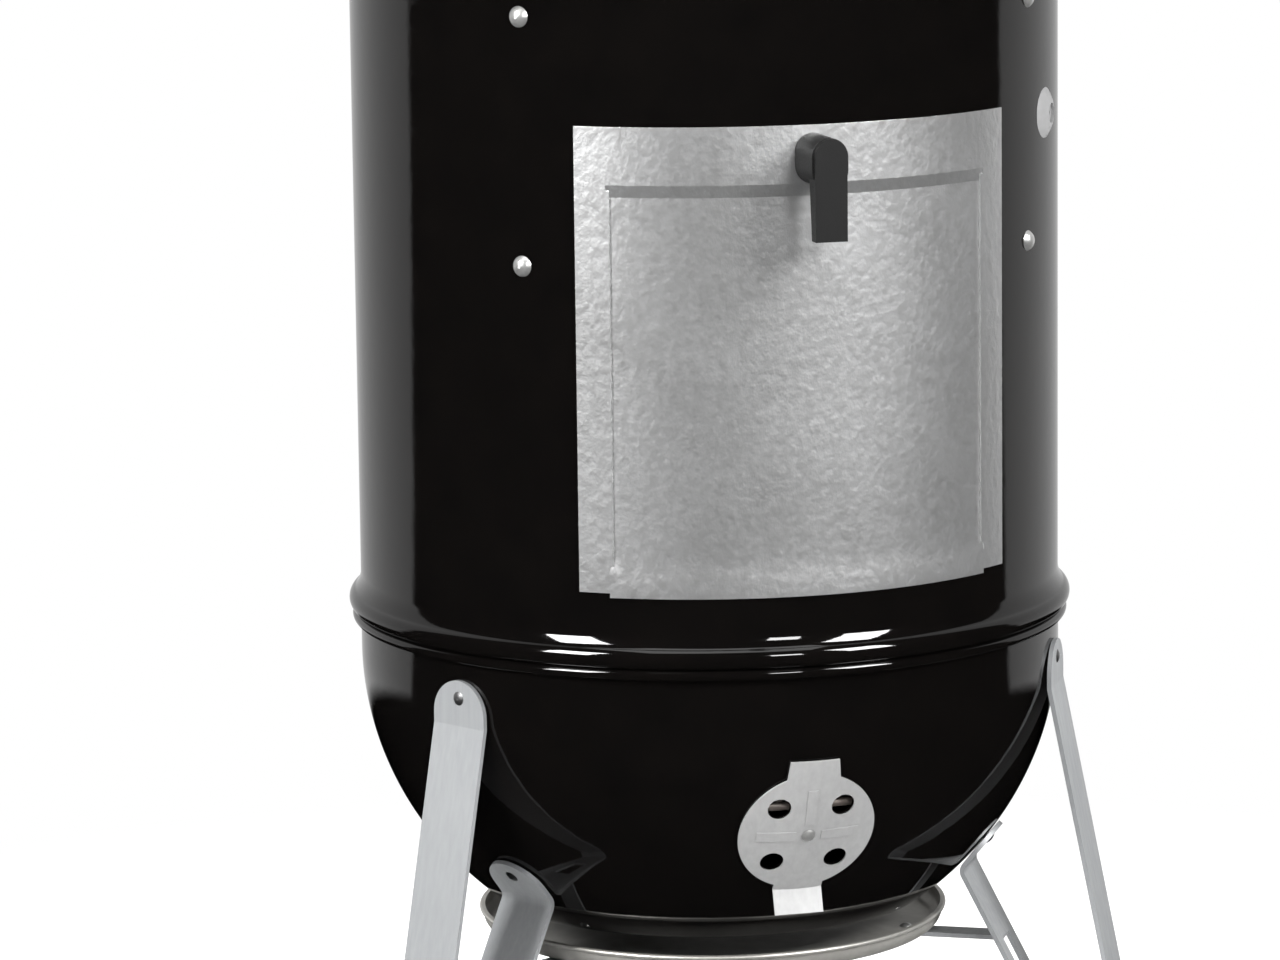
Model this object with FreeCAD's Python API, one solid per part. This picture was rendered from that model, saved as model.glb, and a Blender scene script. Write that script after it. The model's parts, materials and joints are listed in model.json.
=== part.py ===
"""Vertical water smoker: bowl on three strip legs, cooking chamber with a side door, domed lid.

Millimetres, +Z up. The origin is on the floor, under the axis of the bowl.
The access door faces -Y. An azimuth turns from -Y towards +X.
"""
import FreeCAD, Part
import math
import os
from FreeCAD import Vector

# ---- driving dimensions: bowl -------------------------------------------------------------
joint_height = 384.0          # floor to the seam between bowl and chamber
bowl_radius = 236.3           # outside of the straight band under the rim
bowl_band = 25.3              # height of the straight band
bowl_depth_axis = 221.2       # vertical half axis of the curved part
bowl_floor_angle = 52.0       # where the curved part turns into the dished floor
bowl_floor_dish = 8.4         # how far the dished floor drops towards the axis
sheet = 1.6                   # enamelled steel sheet of bowl, chamber and lid
rim_roll_radius = 3.6         # rolled rim

# ---- driving dimensions: chamber and lid --------------------------------------------------
chamber_radius = 236.0
chamber_height = 452.0        # seam to seam
flare_height = 25.0           # where the wall starts to flare above a seam
flare_crest = 8.0             # how far the flare stands out of the wall
flare_crest_height = 6.5
neck_depth = 18.0             # plug that drops into the part below
neck_clearance = 0.8          # radial
seam_gap = 0.4                # under the flare, above the rolled rim
lid_dome_height = 150.0       # vertical half axis of the dome above its band

# ---- driving dimensions: access door ------------------------------------------------------
door_half_angle = 37.2
door_low = 46.0               # above the seam, centre panel
door_high = 349.0
door_strip_angle = 5.0        # side strips outside the pressed panel
door_strip_low = 49.0
door_sheet = 1.2
door_gap = 0.4                # between door and chamber wall
door_recess = 1.6             # how far the centre panel is pressed in
door_recess_low = 60.5        # its sloped lower edge, above the seam
door_recess_low_run = 12.0
door_recess_high = 304.0      # its sloped upper edge
door_recess_high_run = 8.0
door_recess_wall = 0.4        # half of its side walls, in degrees
door_overlap_sides = 3.6      # degrees
door_overlap_top = 5.0
door_overlap_bottom = 14.0
hook_azimuth = 20.0
hook_width = 22.0
hook_reach = 13.0
hook_drop = 7.0
hook_sheet = 1.5
hook_height = 34.0
hook_weld_radius = 2.5
hook_weld_heights = (14.0, 26.0)

# ---- driving dimensions: latch ------------------------------------------------------------
latch_height = 328.0          # above the seam
latch_depth = 38.8            # door face to the front of the lever
latch_hub_width = 24.0
latch_hub_half_height = 16.2
latch_lever_width = 21.0
latch_lever_low = 49.0        # below the pivot
latch_lever_thick = 15.0      # at the hub
latch_lever_thin = 9.0        # at the free end
spindle_radius = 3.0
spindle_play = 0.08
tongue_length = 30.0
tongue_width = 14.0
tongue_sheet = 2.0
tongue_setback = 3.4          # behind the inside of the chamber wall

# ---- driving dimensions: grates, pan, fuel ring -------------------------------------------
strap_azimuths = (-133.5, -46.5, 46.5, 133.5)
strap_width = 20.0
strap_sheet = 1.8
strap_gap = 0.3
lower_bolt_height = 257.5     # above the seam
upper_bolt_height = 417.0
shelf_rise = 10.0             # grate shelf above its bolt
shelf_reach = 18.0
pan_shelf_drop = 12.0         # pan shelf below the lower bolt
pan_shelf_reach = 36.0
rest_gap = 0.4                # loose piece above what carries it
grate_ring_wire = 3.0         # radius
grate_bar_wire = 2.0          # radius
grate_bar_count = 27
bar_weld_sink = 0.7           # bars into the ring
cross_weld_sink = 0.9         # cross bars into the bars
bar_overhang = 1.0            # past the middle of the ring wire
cross_bar_share = 0.45        # place of the cross bars, of the ring's radius
upper_grate_radius = 222.0
lower_grate_radius = 219.0
fuel_grate_radius = 221.0
fuel_bar_wire = 2.4
fuel_bar_count = 21
fuel_ring_radius = 203.0
fuel_ring_height = 180.0
fuel_ring_sheet = 1.2
fuel_ring_hole_radius = 7.0
fuel_ring_hole_rows = 5
fuel_ring_hole_columns = 24
pan_radius = 188.0
pan_rim_radius = 205.0
pan_depth = 110.0
pan_corner = 45.0
pan_sheet = 1.4

# ---- driving dimensions: dampers ----------------------------------------------------------
bowl_damper_azimuths = (0.0, 120.0, -120.0)
bowl_damper_drop = 115.2      # below the seam
damper_radius = 46.0
damper_sheet = 1.2
damper_hole_radius = 7.8
damper_hole_offset = 21.5     # each way from the centre
damper_tab_width = 33.0
damper_tab_length = 9.0
damper_handle_length = 17.0
damper_handle_angle = 42.0    # bent away from the shell
damper_tab_flare = 3.0        # wider at its root, each side
damper_rib_length = 26.0
damper_rib_width = 7.0
damper_rib_rise = 0.5
bowl_damper_sphere = 229.0
bowl_damper_gap = 0.9
lid_damper_azimuth = 180.0
lid_damper_angle = 60.0       # place along the dome, from its band
lid_damper_sphere = 300.0
lid_damper_gap = 1.4
rivet_radius = 3.0
rivet_play = 0.08
rivet_head_radius = 4.6
rivet_head_height = 1.8

# ---- driving dimensions: legs and heat shield ---------------------------------------------
leg_azimuths = {"front_left": -60.0, "front_right": 60.0, "rear": 180.0}
leg_width = 46.0
leg_sheet = 3.0
leg_top_drop = 18.7           # top end below the seam
leg_bolt_drop = 30.5
leg_bend_drop = 49.0
leg_foot_radius = 305.0       # outer corner of the foot
leg_foot_length = 20.0
leg_bend_radius = 7.0
leg_gap = 0.1
tab_low_angle = 42.2          # along the curved part of the bowl
tab_high_angle = 33.0
tab_standoff = 1.0
tongue_strip_width = 19.0
tongue_strip_top = 160.8      # floor to the top face of the heat shield's tongue
tongue_strip_end = 126.0      # distance of its end from the axis
shield_radius = 157.0
shield_wall = 14.0
shield_sheet = 1.2
shield_lip = 2.4              # folded rim, outwards
shield_lip_height = 3.0
shield_corner = 9.0

# ---- driving dimensions: fasteners and small pieces ---------------------------------------
bolt_radius = 3.0
bolt_hole_radius = 3.3
bolt_head_radius = 6.8
bolt_head_height = 4.2
leg_bolt_head_radius = 4.6
leg_bolt_head_height = 1.4
nut_flats = 10.0
nut_height = 4.6
thread_play = 0.05
grommet_azimuth = 54.6
grommet_height = 338.0
grommet_radius = 17.5
grommet_proud = 5.0
grommet_neck_radius = 9.8
grommet_inner_radius = 14.0
grommet_inner_proud = 3.0
probe_hole_radius = 2.5
handle_post_spacing = 104.0
handle_length = 136.0
handle_width = 27.0
handle_thickness = 13.0
handle_rise = 36.0            # top of the lid handle above the crown of the dome
handle_top = joint_height + chamber_height + flare_height + lid_dome_height + handle_rise
gauge_angle = 35.0            # place along the dome, from its band
gauge_radius = 26.0
gauge_depth = 15.0
gauge_wall = 1.5
gauge_stem_radius = 3.5
gauge_stem_length = 52.0
gauge_nut_height = 6.0

# ---- values worked out from them ----------------------------------------------------------
bowl_centre_z = joint_height - bowl_band
lid_seam = joint_height + chamber_height
dome_centre_z = lid_seam + flare_height
neck_radius = bowl_radius - sheet - neck_clearance
wall_inside = chamber_radius - sheet
door_inside = chamber_radius + door_gap
door_face = door_inside + door_sheet
up = Vector(0, 0, 1)
origin = Vector(0, 0, 0)


def save(name, shape):
    """Write one node."""
    shape.exportStep("parts/" + name + ".step")


def joined(shapes):
    """Fuse shapes into one solid without leftover seams."""
    return shapes[0].multiFuse(shapes[1:]).removeSplitter()


def group(solids):
    """Separate solids that share a node."""
    return Part.makeCompound(solids)


def turned(shape, azimuth):
    """Turn a piece made at the front to its azimuth."""
    placed = shape.copy()
    placed.rotate(origin, up, azimuth)
    return placed


def point(r, z):
    return Vector(r, 0, z)


def line(start, end):
    return Part.LineSegment(point(*start), point(*end)).toShape()


def arc(start, middle, end):
    return Part.Arc(point(*start), point(*middle), point(*end)).toShape()


def dish_arc(edge, drop):
    """Spherical dish from its edge down to the axis."""
    radius = (edge[0] ** 2 + drop ** 2) / (2 * drop)
    half = math.asin(edge[0] / radius) / 2
    low = edge[1] - drop
    middle = (radius * math.sin(half), low + radius * (1 - math.cos(half)))
    return arc(edge, middle, (0.0, low))


def ellipse_arc(r_axis, z_axis, centre_z, start_angle, end_angle):
    """Part of an upright ellipse on the axis; a negative z_axis runs downwards."""
    curve = Part.Ellipse(point(r_axis, centre_z), point(0, centre_z + z_axis), point(0, centre_z))
    return curve.toBSpline(math.radians(start_angle), math.radians(end_angle)).toShape()


def rolled_rim(inner, rim_top, roll):
    """Outline of a rolled edge on a wall, from its inner to its outer face."""
    centre_z = rim_top - roll
    centre_r = inner + roll
    drop = math.sqrt(roll * roll - (roll - sheet) ** 2)
    outer = (inner + 2 * roll, centre_z)
    low = (centre_r + 0.5 * roll, centre_z - 0.5 * math.sqrt(3) * roll)
    return [
        arc((inner, centre_z), (centre_r, rim_top), outer),
        arc(outer, low, (inner + sheet, centre_z - drop)),
    ]


def roll_foot(rim_top, roll):
    """Height at which the rolled edge meets the outer face of its wall."""
    return rim_top - roll - math.sqrt(roll * roll - (roll - sheet) ** 2)


def spun(edges, angle=360.0):
    """Solid of revolution about the axis from a closed outline."""
    face = Part.Face(Part.Wire(Part.__sortEdges__(edges)))
    return face.revolve(origin, up, angle)


def rod(start, end, radius):
    run = end - start
    return Part.makeCylinder(radius, run.Length, start, run)


def radial_rod(radius, inner, outer, z, x=0.0):
    """Cylinder along -Y at the front, between two distances from the axis."""
    return rod(Vector(x, -inner, z), Vector(x, -outer, z), radius)


def box(x, y, z):
    """Box from three (low, high) pairs."""
    corner = Vector(x[0], y[0], z[0])
    return Part.makeBox(x[1] - x[0], y[1] - y[0], z[1] - z[0], corner)


def radial_box(width, inner, outer, low, high):
    """Box centred on the front azimuth, between two distances from the axis."""
    return box((-width / 2, width / 2), (-outer, -inner), (low, high))


def hexagon(flats, height, base, axis):
    corner = flats / math.sqrt(3)
    points = []
    for step in range(7):
        angle = math.radians(60 * step)
        points.append(Vector(corner * math.cos(angle), corner * math.sin(angle), 0))
    prism = Part.Face(Part.makePolygon(points)).extrude(Vector(0, 0, height))
    prism.Placement = FreeCAD.Placement(base, FreeCAD.Rotation(up, axis))
    return prism


def dome_head(radius, height, base, axis):
    """Shallow domed fastener head on a flat base."""
    sphere_radius = (radius * radius + height * height) / (2 * height)
    ball = Part.makeSphere(sphere_radius, Vector(0, 0, height - sphere_radius))
    head = ball.common(Part.makeCylinder(radius + 1, height))
    head.Placement = FreeCAD.Placement(base, FreeCAD.Rotation(up, axis))
    return head


def frame_on_shell(r, z, slope):
    """Placement at the front: local Z out of the shell, local Y up along it."""
    out = Vector(0, -math.cos(slope), math.sin(slope))
    along = Vector(0, math.sin(slope), math.cos(slope))
    turn = FreeCAD.Rotation(Vector(1, 0, 0), along, out, "ZXY")
    return FreeCAD.Placement(Vector(0, -r, z), turn)


def ellipse_place(r_axis, z_axis, centre_z, angle):
    """Place and outward slope of a point on an upright ellipse."""
    a = math.radians(angle)
    r = r_axis * math.cos(a)
    z = centre_z + z_axis * math.sin(a)
    slope = math.atan2(math.sin(a) / z_axis, math.cos(a) / r_axis)
    return r, z, slope


# ---- shells -------------------------------------------------------------------------------
def bowl_shell():
    """Pressed bowl: rolled rim, straight band, curved wall and dished floor."""
    a = math.radians(bowl_floor_angle)
    edges = rolled_rim(bowl_radius - sheet, joint_height, rim_roll_radius)
    ends = []
    wall_tops = (roll_foot(joint_height, rim_roll_radius), joint_height - rim_roll_radius)
    for inset, wall_top in zip((0.0, sheet), wall_tops):
        r_axis = bowl_radius - inset
        z_axis = bowl_depth_axis - inset
        foot = (r_axis * math.cos(a), bowl_centre_z - z_axis * math.sin(a))
        bottom = (0.0, foot[1] - bowl_floor_dish)
        edges.append(line((r_axis, wall_top), (r_axis, bowl_centre_z)))
        edges.append(ellipse_arc(r_axis, -z_axis, bowl_centre_z, 0, bowl_floor_angle))
        edges.append(dish_arc(foot, bowl_floor_dish))
        ends.append(bottom)
    edges.append(line(ends[0], ends[1]))
    return spun(edges)


def flare_edges(wall_radius, seam, inset):
    """Outline of a flared lower edge, from its plug up to the plain wall."""
    crest = wall_radius + flare_crest - inset
    plug = neck_radius - inset
    shelf = seam + seam_gap + inset
    turn = (wall_radius + 0.5 * flare_crest - inset, seam + 0.55 * flare_height)
    under = (wall_radius + 0.5 * flare_crest - inset, shelf)
    soft = (wall_radius + 0.12 * flare_crest - inset, seam + 0.78 * flare_height)
    top = (wall_radius - inset, seam + flare_height)
    return [
        line((plug, seam - neck_depth), (plug, shelf)),
        line((plug, shelf), under),
        arc(under, (crest, seam + flare_crest_height + 0.4 * inset), turn),
        arc(turn, soft, top),
    ]


def chamber_shell():
    """Rolled cylinder with a flared lower edge, a rolled top rim and its holes."""
    edges = rolled_rim(wall_inside, lid_seam, rim_roll_radius)
    wall_tops = (roll_foot(lid_seam, rim_roll_radius), lid_seam - rim_roll_radius)
    for inset, wall_top in zip((0.0, sheet), wall_tops):
        edges += flare_edges(chamber_radius, joint_height, inset)
        base = (chamber_radius - inset, joint_height + flare_height)
        edges.append(line(base, (chamber_radius - inset, wall_top)))
    plug_low = joint_height - neck_depth
    edges.append(line((neck_radius, plug_low), (neck_radius - sheet, plug_low)))
    shell = spun(edges)

    half = door_half_angle - door_overlap_sides
    low = joint_height + door_low + door_overlap_bottom
    high = joint_height + door_high - door_overlap_top
    shell = shell.cut(sector(wall_inside - 5, chamber_radius + 5, low, high, half))

    cuts = []
    for azimuth in strap_azimuths:
        for height in (lower_bolt_height, upper_bolt_height):
            z = joint_height + height
            hole = radial_rod(bolt_hole_radius, wall_inside - 5, chamber_radius + 5, z)
            cuts.append(turned(hole, azimuth))
    grommet_z = joint_height + grommet_height
    hole = radial_rod(grommet_neck_radius, wall_inside - 5, chamber_radius + 5, grommet_z)
    cuts.append(turned(hole, grommet_azimuth))
    return shell.cut(cuts)


def sector(inner, outer, low, high, half_angle):
    """Curved plate centred on the front azimuth."""
    edges = [
        line((inner, low), (outer, low)),
        line((outer, low), (outer, high)),
        line((outer, high), (inner, high)),
        line((inner, high), (inner, low)),
    ]
    plate = spun(edges, 2 * half_angle)
    plate.rotate(origin, up, -90 - half_angle)
    return plate


def lid_shell():
    """Domed lid whose flared edge rests on the chamber's rolled rim."""
    edges = []
    tops = []
    for inset in (0.0, sheet):
        edges += flare_edges(chamber_radius, lid_seam, inset)
        r_axis = chamber_radius - inset
        z_axis = lid_dome_height - inset
        edges.append(ellipse_arc(r_axis, z_axis, dome_centre_z, 0, 90))
        tops.append((0.0, dome_centre_z + z_axis))
    plug_low = lid_seam - neck_depth
    edges.append(line((neck_radius, plug_low), (neck_radius - sheet, plug_low)))
    edges.append(line(tops[0], tops[1]))
    shell = spun(edges)

    cuts = damper_holes(lid_damper_place(), lid_damper_azimuth)
    stem_hole = Part.makeCylinder(gauge_stem_radius + 0.1, 40, Vector(0, 0, -20))
    stem_hole.Placement = gauge_place()
    cuts.append(stem_hole)
    for x in (-handle_post_spacing / 2, handle_post_spacing / 2):
        low = Vector(x, 0, lid_seam + 50)
        cuts.append(Part.makeCylinder(bolt_hole_radius, 200, low))
    return shell.cut(cuts)


# ---- dampers ------------------------------------------------------------------------------
def bowl_damper_place():
    angle = math.degrees(math.asin((bowl_damper_drop - bowl_band) / bowl_depth_axis))
    r, z, slope = ellipse_place(bowl_radius, -bowl_depth_axis, bowl_centre_z, angle)
    return frame_on_shell(r, z, slope)


def lid_damper_place():
    r, z, slope = ellipse_place(chamber_radius, lid_dome_height, dome_centre_z, lid_damper_angle)
    return frame_on_shell(r, z, slope)


def gauge_place():
    r, z, slope = ellipse_place(chamber_radius, lid_dome_height, dome_centre_z, gauge_angle)
    return frame_on_shell(r, z, slope)


def damper_hole_centres():
    offset = damper_hole_offset
    return [(-offset, -offset), (-offset, offset), (offset, -offset), (offset, offset)]


def damper_holes(place, azimuth):
    """Four air holes and the rivet hole through a shell."""
    cuts = []
    for x, y in damper_hole_centres():
        cuts.append(Part.makeCylinder(damper_hole_radius, 40, Vector(x, y, -20)))
    cuts.append(Part.makeCylinder(rivet_radius + 0.1, 40, Vector(0, 0, -20)))
    placed = []
    for cut in cuts:
        cut.Placement = place
        placed.append(turned(cut, azimuth))
    return placed


def damper_disc(place, azimuth, sphere, gap):
    """Dished disc with four holes, pressed ribs, a stop tab and a bent handle tab."""
    inner = sphere + gap
    centre = Vector(0, 0, -sphere)
    cap = Part.makeSphere(inner + damper_sheet, centre).cut(Part.makeSphere(inner, centre))
    reach = damper_radius + damper_tab_length
    outline = Part.makeCylinder(damper_radius, 60, Vector(0, 0, -30))
    half = damper_tab_width / 2
    corners = [(-half, reach), (half, reach), (half + damper_tab_flare, 30), (-half - damper_tab_flare, 30)]
    loop = Part.makePolygon([Vector(x, y, -30) for x, y in corners + corners[:1]])
    tab = Part.Face(loop).extrude(Vector(0, 0, 60))
    root = box((-damper_tab_width / 2, damper_tab_width / 2), (-damper_radius - 3, 0), (-30, 30))
    disc = cap.common(joined([outline, tab, root]))

    edge = damper_radius + 3
    height = math.sqrt(inner * inner - edge * edge) - sphere
    width = (-damper_tab_width / 2, damper_tab_width / 2)
    handle = box(width, (-damper_handle_length, 0), (0, damper_sheet))
    handle.rotate(origin, Vector(1, 0, 0), -damper_handle_angle)
    handle.translate(Vector(0, -edge + 0.6, height))

    ribs = []
    rib_root = rivet_head_radius + 4
    for turn in (-1, 0, 1):
        run = (rib_root, rib_root + damper_rib_length)
        rib = box((-damper_rib_width / 2, damper_rib_width / 2), run, (-30, 30))
        rib.rotate(origin, up, 90 * turn)
        ribs.append(rib)
    raised = Part.makeSphere(inner + damper_sheet + damper_rib_rise, centre)
    raised = raised.cut(Part.makeSphere(inner + 0.5 * damper_sheet, centre))
    disc = joined([disc, handle, raised.common(joined(ribs))])

    cuts = [Part.makeCylinder(rivet_radius + rivet_play, 60, Vector(0, 0, -30))]
    for x, y in damper_hole_centres():
        cuts.append(Part.makeCylinder(damper_hole_radius, 60, Vector(x, y, -30)))
    disc = disc.cut(cuts)
    disc.Placement = place
    return turned(disc, azimuth)


def damper_rivet(place, azimuth, gap):
    """Rivet through the shell, with play under its head for the disc to turn."""
    seat = gap + damper_sheet + rest_gap
    shank = Part.makeCylinder(rivet_radius, seat + sheet + 1.2, Vector(0, 0, -sheet - 1.2))
    head = dome_head(rivet_head_radius, rivet_head_height, Vector(0, 0, seat), up)
    upset = Part.makeCylinder(rivet_head_radius, 1.2, Vector(0, 0, -sheet - 1.5))
    rivet = joined([shank, head, upset])
    rivet.Placement = place
    return turned(rivet, azimuth)


# ---- access door and latch ----------------------------------------------------------------
def access_door():
    """Curved sheet with a panel pressed into the opening; its rim laps the wall."""
    low = joint_height + door_low
    high = joint_height + door_high
    panel_angle = door_half_angle - door_strip_angle
    foot = joint_height + door_recess_low
    head = joint_height + door_recess_high
    outline = []
    for radius in (door_face, door_inside):
        outline.append([
            (radius, low),
            (radius, foot),
            (radius - door_recess, foot + door_recess_low_run),
            (radius - door_recess, head),
            (radius, head + door_recess_high_run),
            (radius, high),
        ])
    corners = outline[0] + outline[1][::-1]
    edges = [line(a, b) for a, b in zip(corners, corners[1:] + corners[:1])]
    panel = spun(edges, 2 * panel_angle)
    panel.rotate(origin, up, -90 - panel_angle)

    pieces = [panel]
    strip_low = joint_height + door_strip_low
    side = (door_half_angle + panel_angle) / 2
    for sign in (-1, 1):
        strip = sector(door_inside, door_face, strip_low, high, door_strip_angle / 2)
        pieces.append(turned(strip, sign * side))
        wall_low = foot + door_recess_low_run / 2
        wall_high = head + door_recess_high_run / 2
        wall = sector(door_inside - door_recess, door_face, wall_low, wall_high, door_recess_wall)
        pieces.append(turned(wall, sign * (panel_angle - door_recess_wall / 2)))
    door = joined(pieces)
    latch_z = joint_height + latch_height
    flat = radial_box(latch_hub_width + 2, door_face, door_face + 20, latch_z - 18, latch_z + 18)
    bore = radial_rod(spindle_radius + spindle_play, door_inside - 20, door_face + 20, latch_z)
    return door.cut([flat, bore])


def hook_edge():
    """Height of the opening's lower edge."""
    return joint_height + door_low + door_overlap_bottom


def door_hook(azimuth):
    """Bent bracket spot-welded inside the door; its lip drops behind the wall."""
    panel_back = door_inside - door_recess
    back = math.sqrt(panel_back ** 2 - (hook_width / 2) ** 2) - 0.1
    low = hook_edge() + rest_gap
    plate = radial_box(hook_width, back - hook_sheet, back, low + door_recess_low_run, low + hook_height)
    inner = wall_inside - hook_reach
    foot_low = low + door_recess_low_run
    stem = radial_box(hook_width, inner, back, foot_low, foot_low + hook_sheet)
    lip_low = low - hook_drop
    lip = radial_box(hook_width, inner, inner + hook_sheet, lip_low, foot_low + hook_sheet)
    welds = []
    for height in hook_weld_heights:
        z = low + door_recess_low_run / 2 + height
        welds.append(radial_rod(hook_weld_radius, back - 0.5, panel_back, z))
    return turned(joined([plate, stem, lip] + welds), azimuth)


def latch_knob():
    """Moulded hub with a tapering lever that hangs down clear of the door."""
    z = joint_height + latch_height
    front = door_face + latch_depth
    top = z + latch_hub_half_height
    radius = latch_hub_width / 2
    hub = radial_box(latch_hub_width, door_face + rest_gap, front - 3, z - 4, top - radius)
    crown = radial_rod(radius, door_face + rest_gap, front - 3, top - radius)
    base = radial_rod(radius, door_face + rest_gap, front - 3, z - latch_hub_half_height + radius)

    half = latch_lever_width / 2
    low = z - latch_lever_low
    shoulder = top - half
    profile = Part.makePolygon([
        Vector(-half, -front, low),
        Vector(-half, -front + latch_lever_thin, low),
        Vector(-half, -front + latch_lever_thick, shoulder),
        Vector(-half, -front, shoulder),
        Vector(-half, -front, low),
    ])
    lever = Part.Face(profile).extrude(Vector(latch_lever_width, 0, 0))
    head = radial_rod(half, front - latch_lever_thick, front, shoulder)
    knob = joined([hub, crown, base, lever, head])
    return knob.cut(radial_rod(spindle_radius + 0.02, door_face - 5, front - 12, z))


def latch_spindle():
    z = joint_height + latch_height
    inner = wall_inside - tongue_setback - tongue_sheet - nut_height - 2
    return radial_rod(spindle_radius, inner, door_face + latch_depth - 13, z)


def latch_tongue():
    """Steel tongue that turns behind the edge of the opening."""
    z = joint_height + latch_height
    outer = wall_inside - tongue_setback
    half = tongue_width / 2
    blade = box((0, tongue_length - half), (-outer, -outer + tongue_sheet), (z - half, z + half))
    root = radial_rod(half, outer - tongue_sheet, outer, z)
    tip = radial_rod(half, outer - tongue_sheet, outer, z, tongue_length - half)
    tongue = joined([blade, root, tip])
    return tongue.cut(radial_rod(spindle_radius + thread_play, outer - 20, outer + 20, z))


def latch_washer():
    """Spacer between the door and the tongue."""
    z = joint_height + latch_height
    outer = door_inside - 0.3
    inner = wall_inside - tongue_setback
    washer = radial_rod(6.5, inner, outer, z)
    return washer.cut(radial_rod(spindle_radius + thread_play, inner - 5, outer + 5, z))


def latch_nut():
    z = joint_height + latch_height
    seat = wall_inside - tongue_setback - tongue_sheet
    nut = hexagon(nut_flats, nut_height, Vector(0, -seat, z), Vector(0, 1, 0))
    return nut.cut(radial_rod(spindle_radius + thread_play, seat - 20, seat + 20, z))


# ---- inside the chamber -------------------------------------------------------------------
def support_strap(azimuth):
    """Strip bolted inside the wall with shelves for two grates and the water pan."""
    outer = wall_inside - strap_gap
    inner = outer - strap_sheet
    pan_z = joint_height + lower_bolt_height - pan_shelf_drop
    pieces = []
    upper = joint_height + upper_bolt_height + shelf_rise
    pieces.append(radial_box(strap_width, inner, outer, pan_z - strap_sheet, upper))
    for height in (lower_bolt_height, upper_bolt_height):
        top = joint_height + height + shelf_rise
        pieces.append(radial_box(strap_width, outer - shelf_reach, outer, top - strap_sheet, top))
    pieces.append(radial_box(strap_width, outer - pan_shelf_reach, outer, pan_z - strap_sheet, pan_z))
    strap = joined(pieces)
    for height in (lower_bolt_height, upper_bolt_height):
        strap = strap.cut(radial_rod(bolt_hole_radius, inner - 3, outer + 5, joint_height + height))
    return turned(strap, azimuth)


def strap_bolts():
    bolts = []
    end = wall_inside - strap_gap - strap_sheet - nut_height - 2
    for azimuth in strap_azimuths:
        for height in (lower_bolt_height, upper_bolt_height):
            z = joint_height + height
            shank = radial_rod(bolt_radius, end, chamber_radius + 0.5, z)
            seat = Vector(0, -chamber_radius, z)
            head = dome_head(bolt_head_radius, bolt_head_height, seat, Vector(0, -1, 0))
            bolts.append(turned(joined([shank, head]), azimuth))
    return group(bolts)


def strap_nuts():
    nuts = []
    seat = wall_inside - strap_gap - strap_sheet
    for azimuth in strap_azimuths:
        for height in (lower_bolt_height, upper_bolt_height):
            z = joint_height + height
            nut = hexagon(nut_flats, nut_height, Vector(0, -seat, z), Vector(0, 1, 0))
            nut = nut.cut(radial_rod(bolt_radius + thread_play, seat - 20, seat + 5, z))
            nuts.append(turned(nut, azimuth))
    return group(nuts)


def wire_grate(radius, z, bar_wire, bar_count):
    """Round wire ring with parallel bars welded on it and two cross bars under them."""
    reach = radius - grate_ring_wire
    bar_z = z + grate_height(bar_wire) - bar_wire
    cross_z = bar_z - 2 * bar_wire + cross_weld_sink
    pieces = [Part.makeTorus(reach, grate_ring_wire, Vector(0, 0, z + grate_ring_wire))]
    pitch = 2 * reach / (bar_count + 1)
    for index in range(bar_count):
        x = -reach + pitch * (index + 1)
        half = math.sqrt(reach * reach - x * x) + bar_overhang
        pieces.append(rod(Vector(x, -half, bar_z), Vector(x, half, bar_z), bar_wire))
    for y in (-cross_bar_share * reach, cross_bar_share * reach):
        half = math.sqrt(reach * reach - y * y)
        pieces.append(rod(Vector(-half, y, cross_z), Vector(half, y, cross_z), bar_wire))
    return pieces[0].multiFuse(pieces[1:])


def grate_height(bar_wire):
    """From the bottom of the ring to the top of the bars."""
    return 2 * grate_ring_wire + 2 * bar_wire - bar_weld_sink


def fuel_grate_z():
    """Height at which the fuel grate seats on the narrowing bowl."""
    inner_r = bowl_radius - sheet
    inner_z = bowl_depth_axis - sheet
    share = (fuel_grate_radius + rest_gap) / inner_r
    return bowl_centre_z - inner_z * math.sqrt(1 - share * share)


def fuel_ring():
    """Open perforated ring that holds the charcoal."""
    z = fuel_grate_z() + grate_height(fuel_bar_wire) + rest_gap
    outer = Part.makeCylinder(fuel_ring_radius, fuel_ring_height, Vector(0, 0, z))
    inner = Part.makeCylinder(fuel_ring_radius - fuel_ring_sheet, fuel_ring_height, Vector(0, 0, z))
    ring = outer.cut(inner)
    rows = []
    pitch = fuel_ring_height / fuel_ring_hole_rows
    reach = fuel_ring_radius + 5
    for row in range(fuel_ring_hole_rows):
        height = z + pitch * (row + 0.5)
        for column in range(fuel_ring_hole_columns // 2):
            azimuth = 360.0 * (column + 0.5 * (row % 2)) / fuel_ring_hole_columns
            rows.append(turned(radial_rod(fuel_ring_hole_radius, -reach, reach, height), azimuth))
    return ring.cut(rows)


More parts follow.
